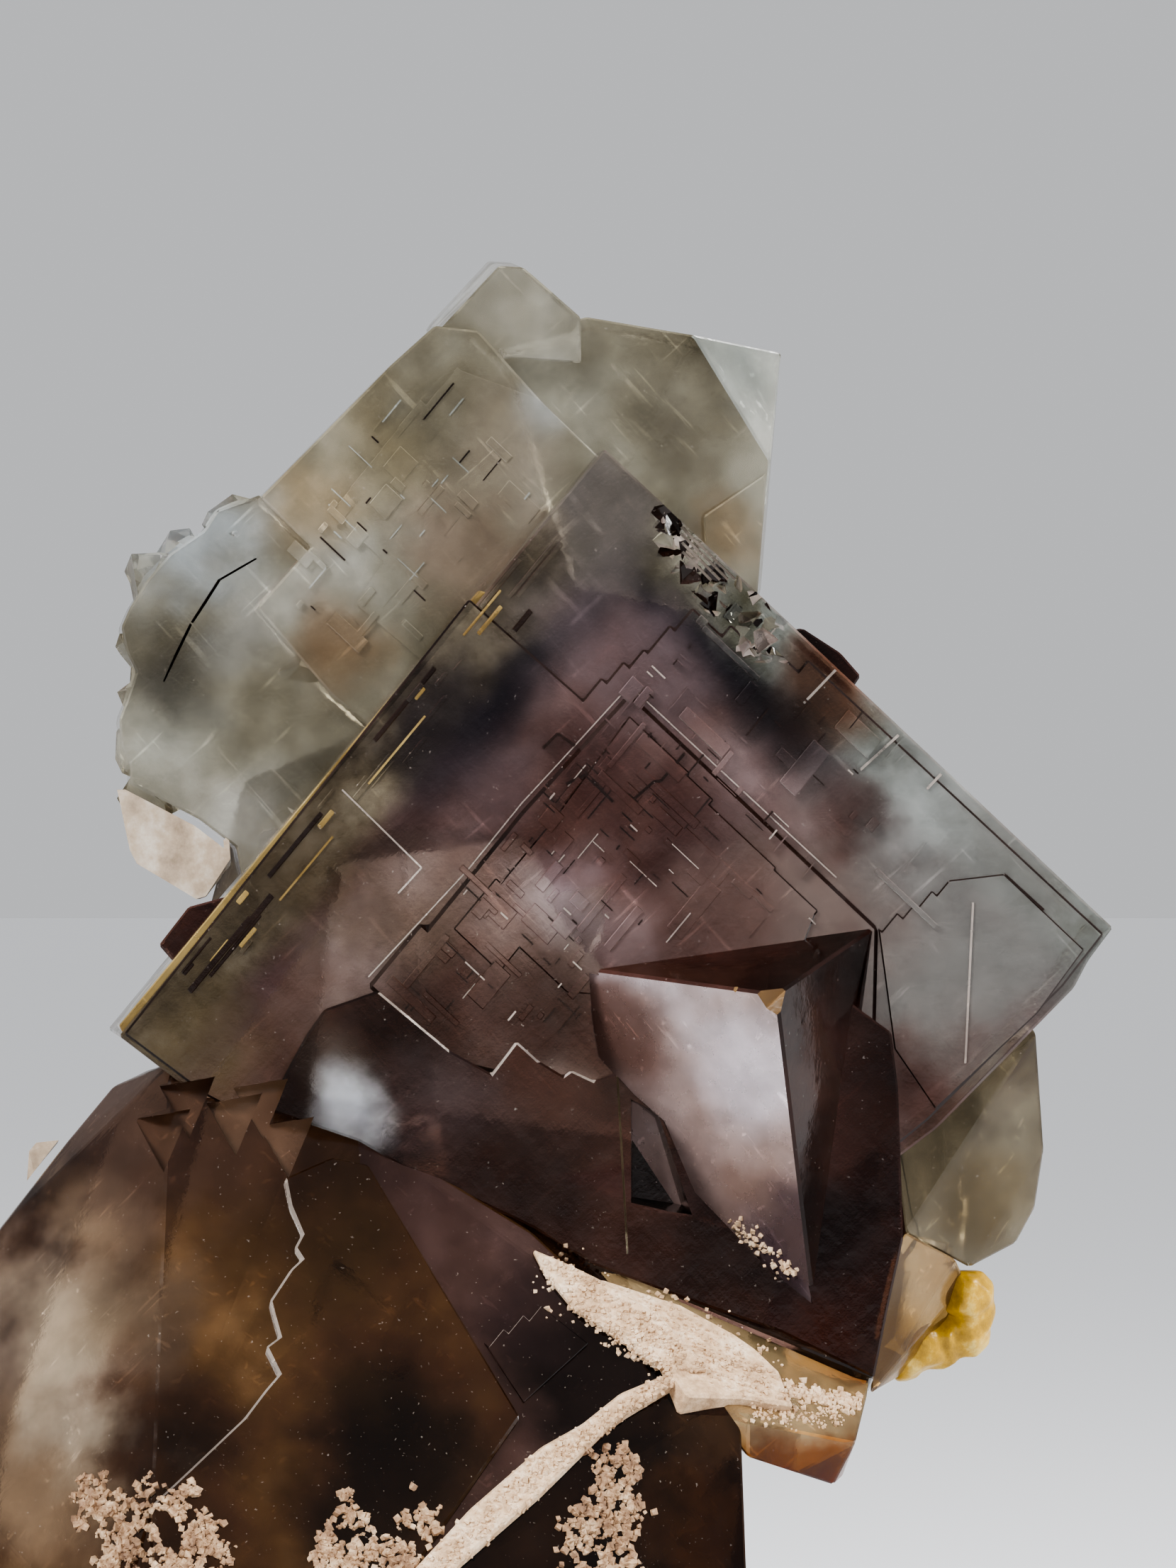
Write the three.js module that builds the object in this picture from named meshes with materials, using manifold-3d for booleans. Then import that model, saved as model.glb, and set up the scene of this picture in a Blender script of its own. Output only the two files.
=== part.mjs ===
// A fluorite specimen: cubes of fluorite grown through each other into one solid,
// with pale calcite, yellow lumps and cream crusts on it. Millimetres, +Z up.
// A corner is written (across, down, depth): across and down are read off the front view in
// units of UNIT, and depth is in millimetres behind the big cube's front face.

import * as THREE from "three";
import { ConvexGeometry } from "three/addons/geometries/ConvexGeometry.js";
import { mergeVertices } from "three/addons/utils/BufferGeometryUtils.js";
import Module from "manifold-3d";

const wasm = await Module();
wasm.setup();

// Driving dimensions
const BIG_EDGE = 40; // upper left edge of the big cube
const BIG_EDGE_IN_VIEW = 1080; // the same edge in units of the front view
const BIG_DEPTH = 26; // the big cube from front to back
const UNIT = BIG_EDGE / BIG_EDGE_IN_VIEW;
const MIDDLE_ACROSS = 665; // the specimen's middle, side to side
const MIDDLE_DEPTH = 8.93; // the specimen's middle, front to back
const FLOOR_DOWN = 2560; // where the specimen is cut off flat
const GAP = 0.3; // air left between separate minerals
const TERRACE_HEIGHT = 0.3; // one growth terrace on the big face
const LUMP_CORNERS = 20; // corners on each rough lump
const LEDGE_HEIGHT = 0.5; // the stepped ledge on the brown crystal

function corner([across, down, depth]) {
  return new THREE.Vector3(
    (across - MIDDLE_ACROSS) * UNIT,
    depth - MIDDLE_DEPTH,
    (FLOOR_DOWN - down) * UNIT,
  );
}

// A closed geometry as a solid that can be joined and cut
function solidOf(geometry) {
  const bare = geometry.clone();
  bare.deleteAttribute("normal");
  bare.deleteAttribute("uv");
  const merged = mergeVertices(bare, 1e-4);
  return new wasm.Manifold(
    new wasm.Mesh({
      numProp: 3,
      vertProperties: new Float32Array(merged.attributes.position.array),
      triVerts: new Uint32Array(merged.index.array),
    }),
  );
}

// A solid as a geometry with flat faces
function geometryOf(solid) {
  const mesh = solid.getMesh();
  const shared = new THREE.BufferGeometry();
  shared.setAttribute("position", new THREE.BufferAttribute(mesh.vertProperties, 3));
  shared.setIndex(new THREE.BufferAttribute(mesh.triVerts, 1));
  const geometry = shared.toNonIndexed();
  geometry.computeVertexNormals();
  return geometry;
}

function join(solids) {
  return solids.reduce((whole, piece) => whole.add(piece));
}

// The largest closed skin of a solid: the crystals are solid all through
function outerSkin(solid) {
  return solid.decompose().reduce((best, skin) => (skin.volume() > best.volume() ? skin : best));
}

// The convex solid around a set of points
function hullOf(points) {
  return solidOf(new ConvexGeometry(points));
}

function block(corners) {
  return hullOf(corners.map(corner));
}

// A sloping face: its depth at one point, and how the depth changes to the right and upwards
function face(at, across, up) {
  return { at: corner(at), across, up };
}

function faceThrough(first, second, third) {
  const [a, b, c] = [first, second, third].map(corner);
  const normal = b.clone().sub(a).cross(c.clone().sub(a));
  return { at: a, across: -normal.x / normal.y, up: -normal.z / normal.y };
}

function liftedBy(plane, height) {
  return { ...plane, at: plane.at.clone().setY(plane.at.y - height) };
}

// An outline without the points that lie on a straight line between their neighbours
function bendsOf(points) {
  return points.filter((point, i) => {
    const before = point.clone().sub(points.at(i - 1)).normalize();
    const after = points[(i + 1) % points.length].clone().sub(point).normalize();
    return Math.abs(before.cross(after)) > 0.01;
  });
}

// A plate whose outline is drawn on the front view. Its front lies in the given face,
// and its sides stand square to that face.
function plate(outline, plane, thickness) {
  const points = outline.map(([across, down]) => {
    const { x, z } = corner([across, down, 0]);
    return new THREE.Vector2(x, z);
  });
  const shape = new THREE.Shape(bendsOf(points));
  const geometry = new THREE.ExtrudeGeometry(shape, { depth: thickness, bevelEnabled: false });
  geometry.translate(0, 0, -thickness);
  const { at, across, up } = plane;
  const toFace = new THREE.Matrix4().set(
    1, 0, across, 0,
    across, up, -1, at.y - across * at.x - up * at.z,
    0, 1, up, 0,
    0, 0, 0, 1,
  );
  return solidOf(geometry.applyMatrix4(toFace));
}

// The same random numbers on every run
function randomFrom(seed) {
  let state = seed;
  return () => {
    state = (state * 1664525 + 1013904223) % 4294967296;
    return state / 4294967296;
  };
}

// The big cube's two edge directions on the front view, from its top corner
const TOP = [853, 633];
const RIGHT = [1571, 1309];
const LEFT = [169, 1461];
const ALONG_RIGHT = new THREE.Vector2(RIGHT[0] - TOP[0], RIGHT[1] - TOP[1]).normalize();
const ALONG_LEFT = new THREE.Vector2(LEFT[0] - TOP[0], LEFT[1] - TOP[1]).normalize();

// Points of a staircase between two places, its treads along the big cube's edges
function stairs(from, to, count, seed) {
  const random = randomFrom(seed);
  const way = new THREE.Vector2(to[0] - from[0], to[1] - from[1]);
  const det = ALONG_RIGHT.x * ALONG_LEFT.y - ALONG_RIGHT.y * ALONG_LEFT.x;
  const right = (way.x * ALONG_LEFT.y - way.y * ALONG_LEFT.x) / det;
  const left = (ALONG_RIGHT.x * way.y - ALONG_RIGHT.y * way.x) / det;
  const points = [];
  let [doneRight, doneLeft] = [0, 0];
  for (let i = 1; i <= count; i += 1) {
    const wobble = i < count ? (random() - 0.5) * 0.5 : 0;
    const nextRight = (right * (i + wobble)) / count;
    const nextLeft = (left * (i - wobble)) / count;
    points.push([
      from[0] + ALONG_RIGHT.x * nextRight + ALONG_LEFT.x * doneLeft,
      from[1] + ALONG_RIGHT.y * nextRight + ALONG_LEFT.y * doneLeft,
    ]);
    [doneRight, doneLeft] = [nextRight, nextLeft];
    points.push([
      from[0] + ALONG_RIGHT.x * doneRight + ALONG_LEFT.x * doneLeft,
      from[1] + ALONG_RIGHT.y * doneRight + ALONG_LEFT.y * doneLeft,
    ]);
  }
  return points;
}

// A rough faceted lump: random points on a ball, squashed along the line of sight
function lump(at, radius, seed, squash = 0.75) {
  const random = randomFrom(seed);
  const centre = corner(at);
  const points = [];
  for (let i = 0; i < LUMP_CORNERS; i += 1) {
    const turn = 2 * Math.PI * random();
    const height = 2 * random() - 1;
    const ring = Math.sqrt(1 - height * height);
    const reach = radius * (0.9 + 0.2 * random());
    points.push(
      new THREE.Vector3(ring * Math.cos(turn), squash * ring * Math.sin(turn), height)
        .multiplyScalar(reach)
        .add(centre),
    );
  }
  return hullOf(points);
}

// A shallow square-sided pit, its sides along the big cube's edges
function pit([across, down], long, wide, deep, plane) {
  const reach = ([a, b]) => [
    across + (ALONG_RIGHT.x * a * long + ALONG_LEFT.x * b * wide) / 2,
    down + (ALONG_RIGHT.y * a * long + ALONG_LEFT.y * b * wide) / 2,
  ];
  const outline = [[-1, -1], [1, -1], [1, 1], [-1, 1]].map(reach);
  return plate(outline, liftedBy(plane, 2), deep + 2);
}

const BIG_FACE = face([...TOP, 0], 0.05, 0);

// The big cube, its lower right edge chipped
function bigCube() {
  const outline = [
    TOP, RIGHT, [1536, 1356], [1516, 1394], [1464, 1447], [1417, 1496], [1322, 1592],
    [1100, 1760], [700, 1650], [508, 1600], [304, 1568], [289, 1553], LEFT,
  ];
  return plate(outline, BIG_FACE, BIG_DEPTH);
}

// A place on the big face, from its top corner: so far along each of its two edges
function onBigFace(alongRight, alongLeft) {
  return [
    TOP[0] + ALONG_RIGHT.x * alongRight + ALONG_LEFT.x * alongLeft,
    TOP[1] + ALONG_RIGHT.y * alongRight + ALONG_LEFT.y * alongLeft,
  ];
}

// Growth terraces on the big face, one on the other. Each has a square upper corner,
// with steps in its edges, and runs down under the lower crystals.
function bigTerraces() {
  const first = [
    [662, 845], [816, 981],
    ...stairs([816, 981], [977, 857], 5, 11),
    ...stairs([977, 857], [1140, 930], 3, 12),
    [1558, 1318], [1500, 1392], [1310, 1580], [1100, 1750], [700, 1645], [508, 1598],
    [320, 1560], [292, 1545], [176, 1458],
  ];
  const second = [
    [888, 977], [1098, 1176], [1239, 1309], [1235, 1480], [900, 1560], [640, 1500], [519, 1391],
    [594, 1300], [603, 1308], [737, 1143],
  ];
  const third = [
    [888, 1010], ...stairs([888, 1010], [1150, 1290], 4, 15), [1100, 1420], [800, 1400],
    [733, 1337], [705, 1372], [640, 1310], [700, 1238], [707, 1245], [780, 1157],
  ];
  const right = [
    [1239, 1309], ...stairs([1239, 1309], [1339, 1242], 4, 18), [1417, 1233], [1530, 1340],
    [1464, 1430], [1320, 1565], [1262, 1480],
  ];
  return [first, second, third, right].map((outline, level) => {
    const height = TERRACE_HEIGHT * [1, 2, 2.8, 1.7][level];
    return plate(outline, liftedBy(BIG_FACE, height), height + 1);
  });
}

// Small square growth plates scattered over the big face, most along its left edge
function growthPlates() {
  const random = randomFrom(5);
  const plates = [];
  for (let i = 0; i < 16; i += 1) {
    const nearEdge = i % 2 === 0;
    const alongRight = nearEdge ? 14 + 50 * random() : 330 + 260 * random();
    const alongLeft = nearEdge ? 160 + 640 * random() : 260 + 330 * random();
    const long = nearEdge ? 90 + 160 * random() : 30 + 60 * random();
    const wide = nearEdge ? 10 + 14 * random() : 20 + 40 * random();
    const level = nearEdge ? 1 : 2.8;
    const height = TERRACE_HEIGHT * (level + 0.2 + 0.3 * random());
    const outline = [
      onBigFace(alongRight, alongLeft), onBigFace(alongRight + wide, alongLeft),
      onBigFace(alongRight + wide, alongLeft + long), onBigFace(alongRight, alongLeft + long),
    ];
    plates.push(plate(outline, liftedBy(BIG_FACE, height), height + 0.8));
  }
  return plates;
}

// Thin plates stepping back down the big cube's narrow upper left side
function sidePlates() {
  const steps = [[260, 1070, 1.2, 10], [420, 1060, 3.2, 9], [640, 1072, 6, 8]];
  return steps.map(([from, to, depth, out]) => {
    const outline = [
      onBigFace(4, from), onBigFace(4, to), onBigFace(-out, to - 6), onBigFace(-out, from + 8),
    ];
    return plate(outline, liftedBy(BIG_FACE, -depth), 9);
  });
}

// The broken, pitted patch on the big cube's upper right edge
function pittedPatch() {
  const places = [
    [[955, 738], 60, 34, 0.7], [[985, 775], 70, 46, 1.1], [[1020, 812], 60, 38, 1.5],
    [[1045, 860], 52, 40, 1.9], [[1085, 872], 64, 30, 1.2], [[1012, 866], 36, 26, 1.3],
    [[1112, 902], 44, 28, 0.8],
  ];
  return places.map(([at, long, wide, deep]) => pit(at, long, wide, deep, BIG_FACE));
}

// The dark crystal grown level with the big face below it, cut off by one long slanting edge
const LOWER_FACE = face([853, 1600, -1.5], 0.05, 0.01);

function lowerSlab() {
  const outline = [
    [459, 1423], [434, 1458], [413, 1496], [389, 1542], [385, 1567], [508, 1609], [567, 1644],
    [680, 1696], [753, 1731], [841, 1784], [960, 1829], [1099, 1877], [1233, 1943], [1252, 1848],
    [1274, 1747], [1267, 1537], [1257, 1456], [1180, 1400], [838, 1524], [806, 1509],
    [795, 1517], [760, 1496], [729, 1468], [694, 1514], [636, 1482], [534, 1397],
  ];
  const underside = [
    [940, 1822, -1.3], [1233, 1943, -0.6], [1226, 1967, 3], [1104, 1948, 3], [1050, 1885, 2],
    [1000, 1800, 0], [1240, 1900, 0], [1000, 1800, 14], [1226, 1960, 14], [1240, 1900, 14],
  ];
  return [plate(outline, LOWER_FACE, 24), block(underside)];
}

// A direction from its angle on the front view and its slant away from the viewer, in degrees
function direction(angle, slant) {
  const [turn, away] = [angle, slant].map(THREE.MathUtils.degToRad);
  return new THREE.Vector3(
    Math.cos(away) * Math.cos(turn),
    Math.sin(away),
    Math.cos(away) * Math.sin(turn),
  );
}

// The second cube of the twin: one corner stands out of the big face towards the viewer
const TWIN_CORNER = [1094, 1400, -7];
const TWIN_DOWN = direction(-83, 20.8);
const TWIN_LEFT = direction(172.7, 33);
const TWIN_BACK = TWIN_DOWN.clone().cross(TWIN_LEFT).normalize();
const TWIN_SIZE = { down: 18.5, left: 16, back: 9.6 };

function twinPoint(down, left, back) {
  return corner(TWIN_CORNER)
    .addScaledVector(TWIN_DOWN, down)
    .addScaledVector(TWIN_LEFT, left)
    .addScaledVector(TWIN_BACK, back);
}

function twinCube() {
  const points = [];
  for (const down of [0, TWIN_SIZE.down])
    for (const left of [0, TWIN_SIZE.left])
      for (const back of [0, TWIN_SIZE.back]) points.push(twinPoint(down, left, back));
  return hullOf(points);
}

// The chip off the twin's corner, with a step in it
function twinChip() {
  return [
    hullOf([
      twinPoint(-0.5, -0.5, -0.5), twinPoint(2.2, -0.5, -0.5), twinPoint(-0.5, 2.4, -0.5),
      twinPoint(-0.5, -0.5, 1.4), twinPoint(1.4, 1.2, -0.5),
    ]),
    hullOf([
      twinPoint(-0.5, 1.6, -0.5), twinPoint(-0.5, 4.2, -0.5), twinPoint(0.7, 2.6, -0.5),
      twinPoint(-0.5, 2.6, 0.8),
    ]),
  ];
}

// The dark three-cornered hollow beside the twin's big face, and the narrow slot left of it
function twinHollow() {
  return [
    block([
      [889, 1546, -4], [937, 1570, -4], [989, 1723, -4], [889, 1700, -4],
      [892, 1556, 2], [920, 1580, 2], [960, 1700, 2], [892, 1690, 2],
    ]),
    block([
      [862, 1456, -4], [874, 1456, -4], [890, 1776, -4], [880, 1776, -4],
      [868, 1470, -0.6], [885, 1765, -0.6],
    ]),
  ];
}

// The cube behind on the left, and its broken left part
const REAR_LEFT_FACE = face([612, 456, 5], 0.04, 0);

function rearLeftCube() {
  const whole = [
    [612, 456], [674, 463], [768, 568], [836, 633], [960, 760], [700, 1180], [466, 980],
    [360, 856], [437, 770], [365, 700], [550, 512],
  ];
  const broken = [
    [450, 760], [365, 695], [303, 717], [284, 746], [236, 779], [203, 817], [179, 856],
    [167, 884], [174, 918], [188, 947], [179, 975], [164, 1014], [167, 1052], [179, 1076],
    [180, 1105], [279, 1157], [330, 1196], [340, 1250], [700, 1190], [480, 960],
  ];
  const terrace = [
    [650, 520], ...stairs([650, 520], [560, 600], 2, 21), ...stairs([560, 600], [466, 720], 3, 22),
    [540, 790], [500, 850], [640, 970], [900, 700], [760, 560],
  ];
  return [
    plate(whole, REAR_LEFT_FACE, 17),
    plate(broken, liftedBy(REAR_LEFT_FACE, -1.4), 13),
    plate(terrace, liftedBy(REAR_LEFT_FACE, 0.25), 1.25),
  ];
}

function rearLeftKnobs() {
  const places = [
    [[255, 790, 7.6], 1.7], [[215, 845, 8.4], 1.9], [[205, 905, 9], 1.7], [[215, 985, 8.6], 2],
    [[205, 1060, 8.8], 1.9], [[330, 745, 7.2], 1.8], [[290, 1090, 7.8], 2.1],
    [[420, 940, 6.9], 1.6],
  ];
  return places.map(([at, radius], i) => lump(at, radius, 31 + i));
}

// The dark crack through the broken part
function rearLeftCrack() {
  return [
    block([
      [357, 776, 3], [362, 792, 3], [306, 828, 3], [298, 812, 3], [352, 786, 8], [306, 818, 8],
    ]),
    block([
      [298, 808, 3], [312, 824, 3], [226, 968, 3], [214, 960, 3], [304, 818, 8], [224, 958, 8],
    ]),
  ];
}

// The small crystal at the very top
function topCrystal() {
  const outline = [
    [612, 470], [620, 458], [703, 369], [737, 371], [753, 384], [819, 442], [820, 507],
    [715, 500], [674, 520],
  ];
  return plate(outline, face([703, 369, 7.5], 0.05, -0.05), 13);
}

// The tall pale crystal behind on the right, with a cut corner
function upperRightCrystal() {
  return [
    block([
      [690, 470, 10], [828, 440, 10], [981, 466, 10], [1090, 645, 10.5], [1062, 880, 11],
      [800, 820, 10], [1106, 488, 15], [1093, 658, 15.5], [1077, 828, 15],
      [700, 480, 27], [838, 448, 27], [1098, 496, 26], [1066, 880, 26], [800, 820, 27],
    ]),
    block([
      [994, 724, 9.6], [1085, 662, 10.2], [1070, 850, 10.6], [1000, 860, 9.8],
      [994, 724, 14], [1085, 662, 14], [1070, 850, 14], [1000, 860, 14],
    ]),
  ];
}

// Red-brown crystals that just show past the big cube's upper edges
function redCrystals() {
  const onTheRight = [
    [1135, 884, 9], [1189, 919, 9], [1218, 952, 9], [1180, 1010, 9], [1040, 900, 9],
    [1130, 894, 19], [1180, 925, 19], [1208, 960, 19], [1180, 1010, 19], [1040, 900, 19],
  ];
  const onTheLeft = [
    [222, 1334, 3], [264, 1280, 3], [330, 1262, 3], [360, 1400, 3], [262, 1380, 3],
    [226, 1340, 13], [268, 1286, 13], [335, 1270, 13], [360, 1400, 13], [262, 1385, 13],
  ];
  return [block(onTheRight), block(onTheLeft)];
}

// The pale crystal at lower right, and the tan one under it
const RIGHT_PALE = [
  [1290, 1500, 4], [1450, 1440, 6], [1465, 1460, 6], [1477, 1626, 7], [1465, 1709, 8],
  [1438, 1759, 8], [1371, 1792, 6], [1279, 1741, 3], [1262, 1600, 3], [1300, 1500, 18],
  [1460, 1470, 18], [1470, 1620, 18], [1460, 1700, 18], [1430, 1750, 17], [1300, 1770, 17],
];
const RIGHT_TAN = [
  [1279, 1741, 2.6], [1350, 1780, 4.6], [1366, 1815, 6], [1350, 1870, 7.6], [1293, 1918, 7],
  [1268, 1950, 6], [1230, 1969, 3.6], [1240, 1800, 1.6], [1290, 1740, 15], [1350, 1800, 15],
  [1290, 1900, 15], [1228, 1950, 15],
];

// The amber block under the slab, overhanging at the right
const BLOCK_FACE_CORNERS = [[846, 1792, -1.6], [955, 1926, -5.2], [1223, 1967, -0.5]];
const LOWER_BLOCK = [
  ...BLOCK_FACE_CORNERS, [960, 1810, 0.4], [1104, 1880, 0.6], [1226, 1940, 0.8],
  [1054, 2000, -5.6], [1205, 2032, -3.4], [1054, 2050, -4.8], [1124, 2074, -3.6],
  [1175, 2092, -2], [1188, 2081, -1], [1223, 1967, 14], [1170, 2080, 14], [1054, 2066, 14],
  [900, 1900, 14],
];

// The smoky brown mass at lower left: a left part, and a right part that stands proud of it
const BROWN_FACE_CORNERS = [[520, 1620, -1.6], [745, 1983, -7.8], [577, 2212, -13.6]];
const MAUVE_FACE_CORNERS = [[525, 1630, -1.6], [955, 1926, -5.2], [764, 2033, -8.5]];
const BROWN_LEFT = [
  [207, 1511, 3], [158, 1534, 3], [94, 1611, 2.5], [33, 1695, 2], [0, 1733, 1.6],
  [-70, 1840, 1], [-150, 2000, 0], [-205, 2200, -1], [-232, 2400, -2], [-241, FLOOR_DOWN, -2],
  [240, 1500, -0.2], [330, 1540, -0.5], [420, 1556, -0.8], [500, 1590, -1.2],
  [428, 1756, -4.4], [350, 1989, -9.7],
  [224, 2106, -12.9], [151, 1960, -8], [112, 1824, -4], [150, 2300, -14.5],
  [170, FLOOR_DOWN, -15], [220, 1520, 16], [-60, 1800, 18], [-200, 2100, 20],
  [-235, FLOOR_DOWN, 20], [200, FLOOR_DOWN, 23], [300, 1560, 18],
];
const BROWN_RIGHT = [
  [330, 1545, -0.4], [500, 1585, -1.3], [403, 1659, -3], ...BROWN_FACE_CORNERS,
  ...MAUVE_FACE_CORNERS, [750, 1737, -2.5], [500, 2290, -15], [224, 2120, -13.2],
  [180, 2280, -14.6], [160, FLOOR_DOWN, -15], [490, FLOOR_DOWN, -15.4], [300, 1600, 16],
  [560, 1580, 16], [960, 1880, 14], [160, FLOOR_DOWN, 20], [955, FLOOR_DOWN, 16],
];

const LEDGE_FACE = liftedBy(faceThrough(...BROWN_FACE_CORNERS), LEDGE_HEIGHT);

function brownLedge() {
  const outline = [
    [403, 1659], [411, 1698], [428, 1737], [418, 1756], [428, 1771], [413, 1785], [384, 1829],
    [389, 1848], [398, 1878], [379, 1892], [398, 1929], [379, 1951], [350, 1989], [272, 2062],
    [224, 2106], [230, 2200], [300, 2330], [490, 2300], [577, 2212], [735, 1990], [520, 1640],
    [470, 1630],
  ];
  return plate(outline, LEDGE_FACE, LEDGE_HEIGHT + 3);
}

const MAUVE_FACE = faceThrough(...MAUVE_FACE_CORNERS);

// Small steps on the mauve side of the brown mass
function mauveSteps() {
  const side = [[684, 1888], ...stairs([684, 1888], [764, 1838], 3, 41), [830, 1890], [740, 1970]];
  return plate(side, liftedBy(MAUVE_FACE, 0.4), 1.4);
}

// The notches between the teeth under the big cube
function teethNotches() {
  const points = [[233, 1654, -1.4], [330, 1627, -1.3], [403, 1659, -2], [505, 1640, -1.9]];
  return points.map(([across, down, depth]) =>
    block([
      [across, down + 4, depth - 4], [across - 40, down - 70, depth - 4],
      [across + 34, down - 84, depth - 4], [across - 42, down - 72, depth + 0.7],
      [across + 36, down - 86, depth + 1.2], [across, down, depth],
    ]),
  );
}

// The dark crystal at lower right of the mass; it stands on the floor
const DARK_FACE_CORNERS = [[955, 1937, -5.3], [630, 2212, -13.5], [1051, 2212, -6.5]];
const DARK_CORNERS = [
  ...DARK_FACE_CORNERS, [883, 1983, -6.95], [764, 2090, -10], [520, 2330, -15.4],
  [490, FLOOR_DOWN, -15.4], [982, 1991, -5.6], [1036, 2083, -5.8], [1042, 1960, -4.9],
  [1056, FLOOR_DOWN, -7.5], [1046, 1960, 14], [1056, FLOOR_DOWN, 14], [700, 1960, 14],
  [490, FLOOR_DOWN, 16],
];

// The narrow face between the brown crystal and the dark one
const RIDGE_FACE_CORNERS = [[955, 1926, -5.3], [577, 2212, -13.8], [630, 2212, -13.6]];
const RIDGE = [
  ...RIDGE_FACE_CORNERS, [764, 2033, -8.6], [883, 1983, -6.9], [764, 2090, -10],
  [500, 2290, -15.4], [545, 2300, -15.4], [955, 1940, 2], [700, 2060, 0], [560, 2260, -6],
];

// The broken back of the specimen, behind the cubes, down to the flat cut
const BACK_MASS = [
  [330, 1100, 22], [620, 980, 25], [1000, 1040, 25], [1200, 1300, 24], [1180, 1600, 22],
  [1040, 1900, 20], [300, 1500, 25], [120, 1900, 26], [140, FLOOR_DOWN, 27],
  [820, FLOOR_DOWN, 25], [980, 2200, 20], [400, 1300, 14], [1100, 1300, 14], [900, 2400, 12],
  [200, FLOOR_DOWN, 12],
];
const BACK_CUBE_CENTRE = [640, 1480, 22];
const BACK_CUBE_EDGE = 17;

// A cube half sunk in the specimen's back, turned like the twin
function backCube() {
  const geometry = new THREE.BoxGeometry(BACK_CUBE_EDGE, BACK_CUBE_EDGE, BACK_CUBE_EDGE);
  geometry.applyMatrix4(new THREE.Matrix4().makeBasis(TWIN_BACK, TWIN_DOWN, TWIN_LEFT));
  const centre = corner(BACK_CUBE_CENTRE);
  return solidOf(geometry.translate(centre.x, centre.y, centre.z));
}

function fluorite() {
  const grown = join([
    bigCube(), ...bigTerraces(), ...growthPlates(), ...sidePlates(), ...lowerSlab(),
    ...rearLeftCube(), ...rearLeftKnobs(), topCrystal(), ...upperRightCrystal(),
    ...redCrystals(), block(RIGHT_PALE), block(RIGHT_TAN),
    block(LOWER_BLOCK), block(BROWN_LEFT), block(BROWN_RIGHT), brownLedge(), mauveSteps(),
    block(DARK_CORNERS), block(RIDGE), block(BACK_MASS), backCube(),
  ]);
  const hollows = join([
    ...pittedPatch(), ...twinHollow(), ...rearLeftCrack(), ...teethNotches(),
  ]);
  const cut = grown.subtract(hollows).add(twinCube()).subtract(join(twinChip()));
  return outerSkin(cut);
}

const FLUORITE = fluorite();

const GAP_SHIFTS = [-GAP, GAP].flatMap((x) =>
  [-GAP, GAP].flatMap((y) => [-GAP, GAP].map((z) => [x, y, z])),
);

// What is left of a solid once it keeps GAP from its neighbours
function clearOf(neighbours, solid) {
  let left = solid;
  for (const neighbour of neighbours)
    for (const [x, y, z] of GAP_SHIFTS)
      left = left.subtract(solidOf(geometryOf(neighbour).translate(x, y, z)));
  return outerSkin(left);
}

function depthOn(plane, [across, down]) {
  const { x, z } = corner([across, down, 0]);
  const { at } = plane;
  return at.y + plane.across * (x - at.x) + plane.up * (z - at.z) + MIDDLE_DEPTH;
}

// A crust on one face: a thin sheet with rough lumps on it
function crust(outline, plane, thickness, lumps, seed) {
  const sheet = plate(outline, liftedBy(plane, 2 * GAP + thickness), thickness + 2);
  const grains = lumps.map(([across, down, radius], i) =>
    lump([across, down, depthOn(plane, [across, down]) - GAP], radius, seed + i, 0.9),
  );
  return join([sheet, ...grains]);
}

const RIDGE_FACE = faceThrough(...RIDGE_FACE_CORNERS);
const BLOCK_FACE = faceThrough(...BLOCK_FACE_CORNERS);
const DARK_FACE = faceThrough(...DARK_FACE_CORNERS);

// The narrow cream ridge between the brown crystal and the dark one
function ridgeCrust() {
  const outline = [
    [957, 1924], [875, 1957], [821, 1999], [764, 2030], [665, 2114], [570, 2214], [520, 2270],
    [548, 2292], [630, 2212], [653, 2186], [764, 2092], [856, 2004], [883, 1985], [957, 1940],
  ];
  const lumps = [
    [925, 1944, 0.6], [880, 1966, 0.8], [835, 2000, 0.9], [790, 2035, 0.9], [745, 2075, 1],
    [700, 2112, 1], [655, 2158, 1.1], [605, 2206, 1.2], [560, 2256, 1.2],
  ];
  return clearOf([FLUORITE], crust(outline, RIDGE_FACE, 0.5, lumps, 51));
}

const RIDGE_CRUST = ridgeCrust();

// The cream coating on the amber block
function blockCrust() {
  const onMauve = [
    [752, 1752], [846, 1796], [930, 1850], [1000, 1925], [955, 1930], [917, 1915], [870, 1877],
    [812, 1843], [768, 1790],
  ];
  const onBlock = [
    [846, 1796], [960, 1836], [1037, 1878], [1066, 1900], [1100, 1932], [1110, 1960],
    [1160, 1962], [1220, 1974], [1212, 2004], [1160, 1984], [1128, 2006], [1092, 1976],
    [1050, 1966], [970, 1960], [940, 1920],
  ];
  const mauveLumps = [[800, 1806, 0.7], [850, 1830, 0.9], [890, 1862, 0.9], [930, 1900, 0.9]];
  const blockLumps = [
    [900, 1836, 1], [950, 1870, 1.1], [1000, 1912, 1.1], [1050, 1940, 1.1], [1180, 1976, 0.8],
  ];
  const sheets = join([
    crust(onMauve, MAUVE_FACE, 0.4, mauveLumps, 61),
    crust(onBlock, BLOCK_FACE, 0.4, blockLumps, 66),
  ]);
  return clearOf([FLUORITE, RIDGE_CRUST], sheets);
}

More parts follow.
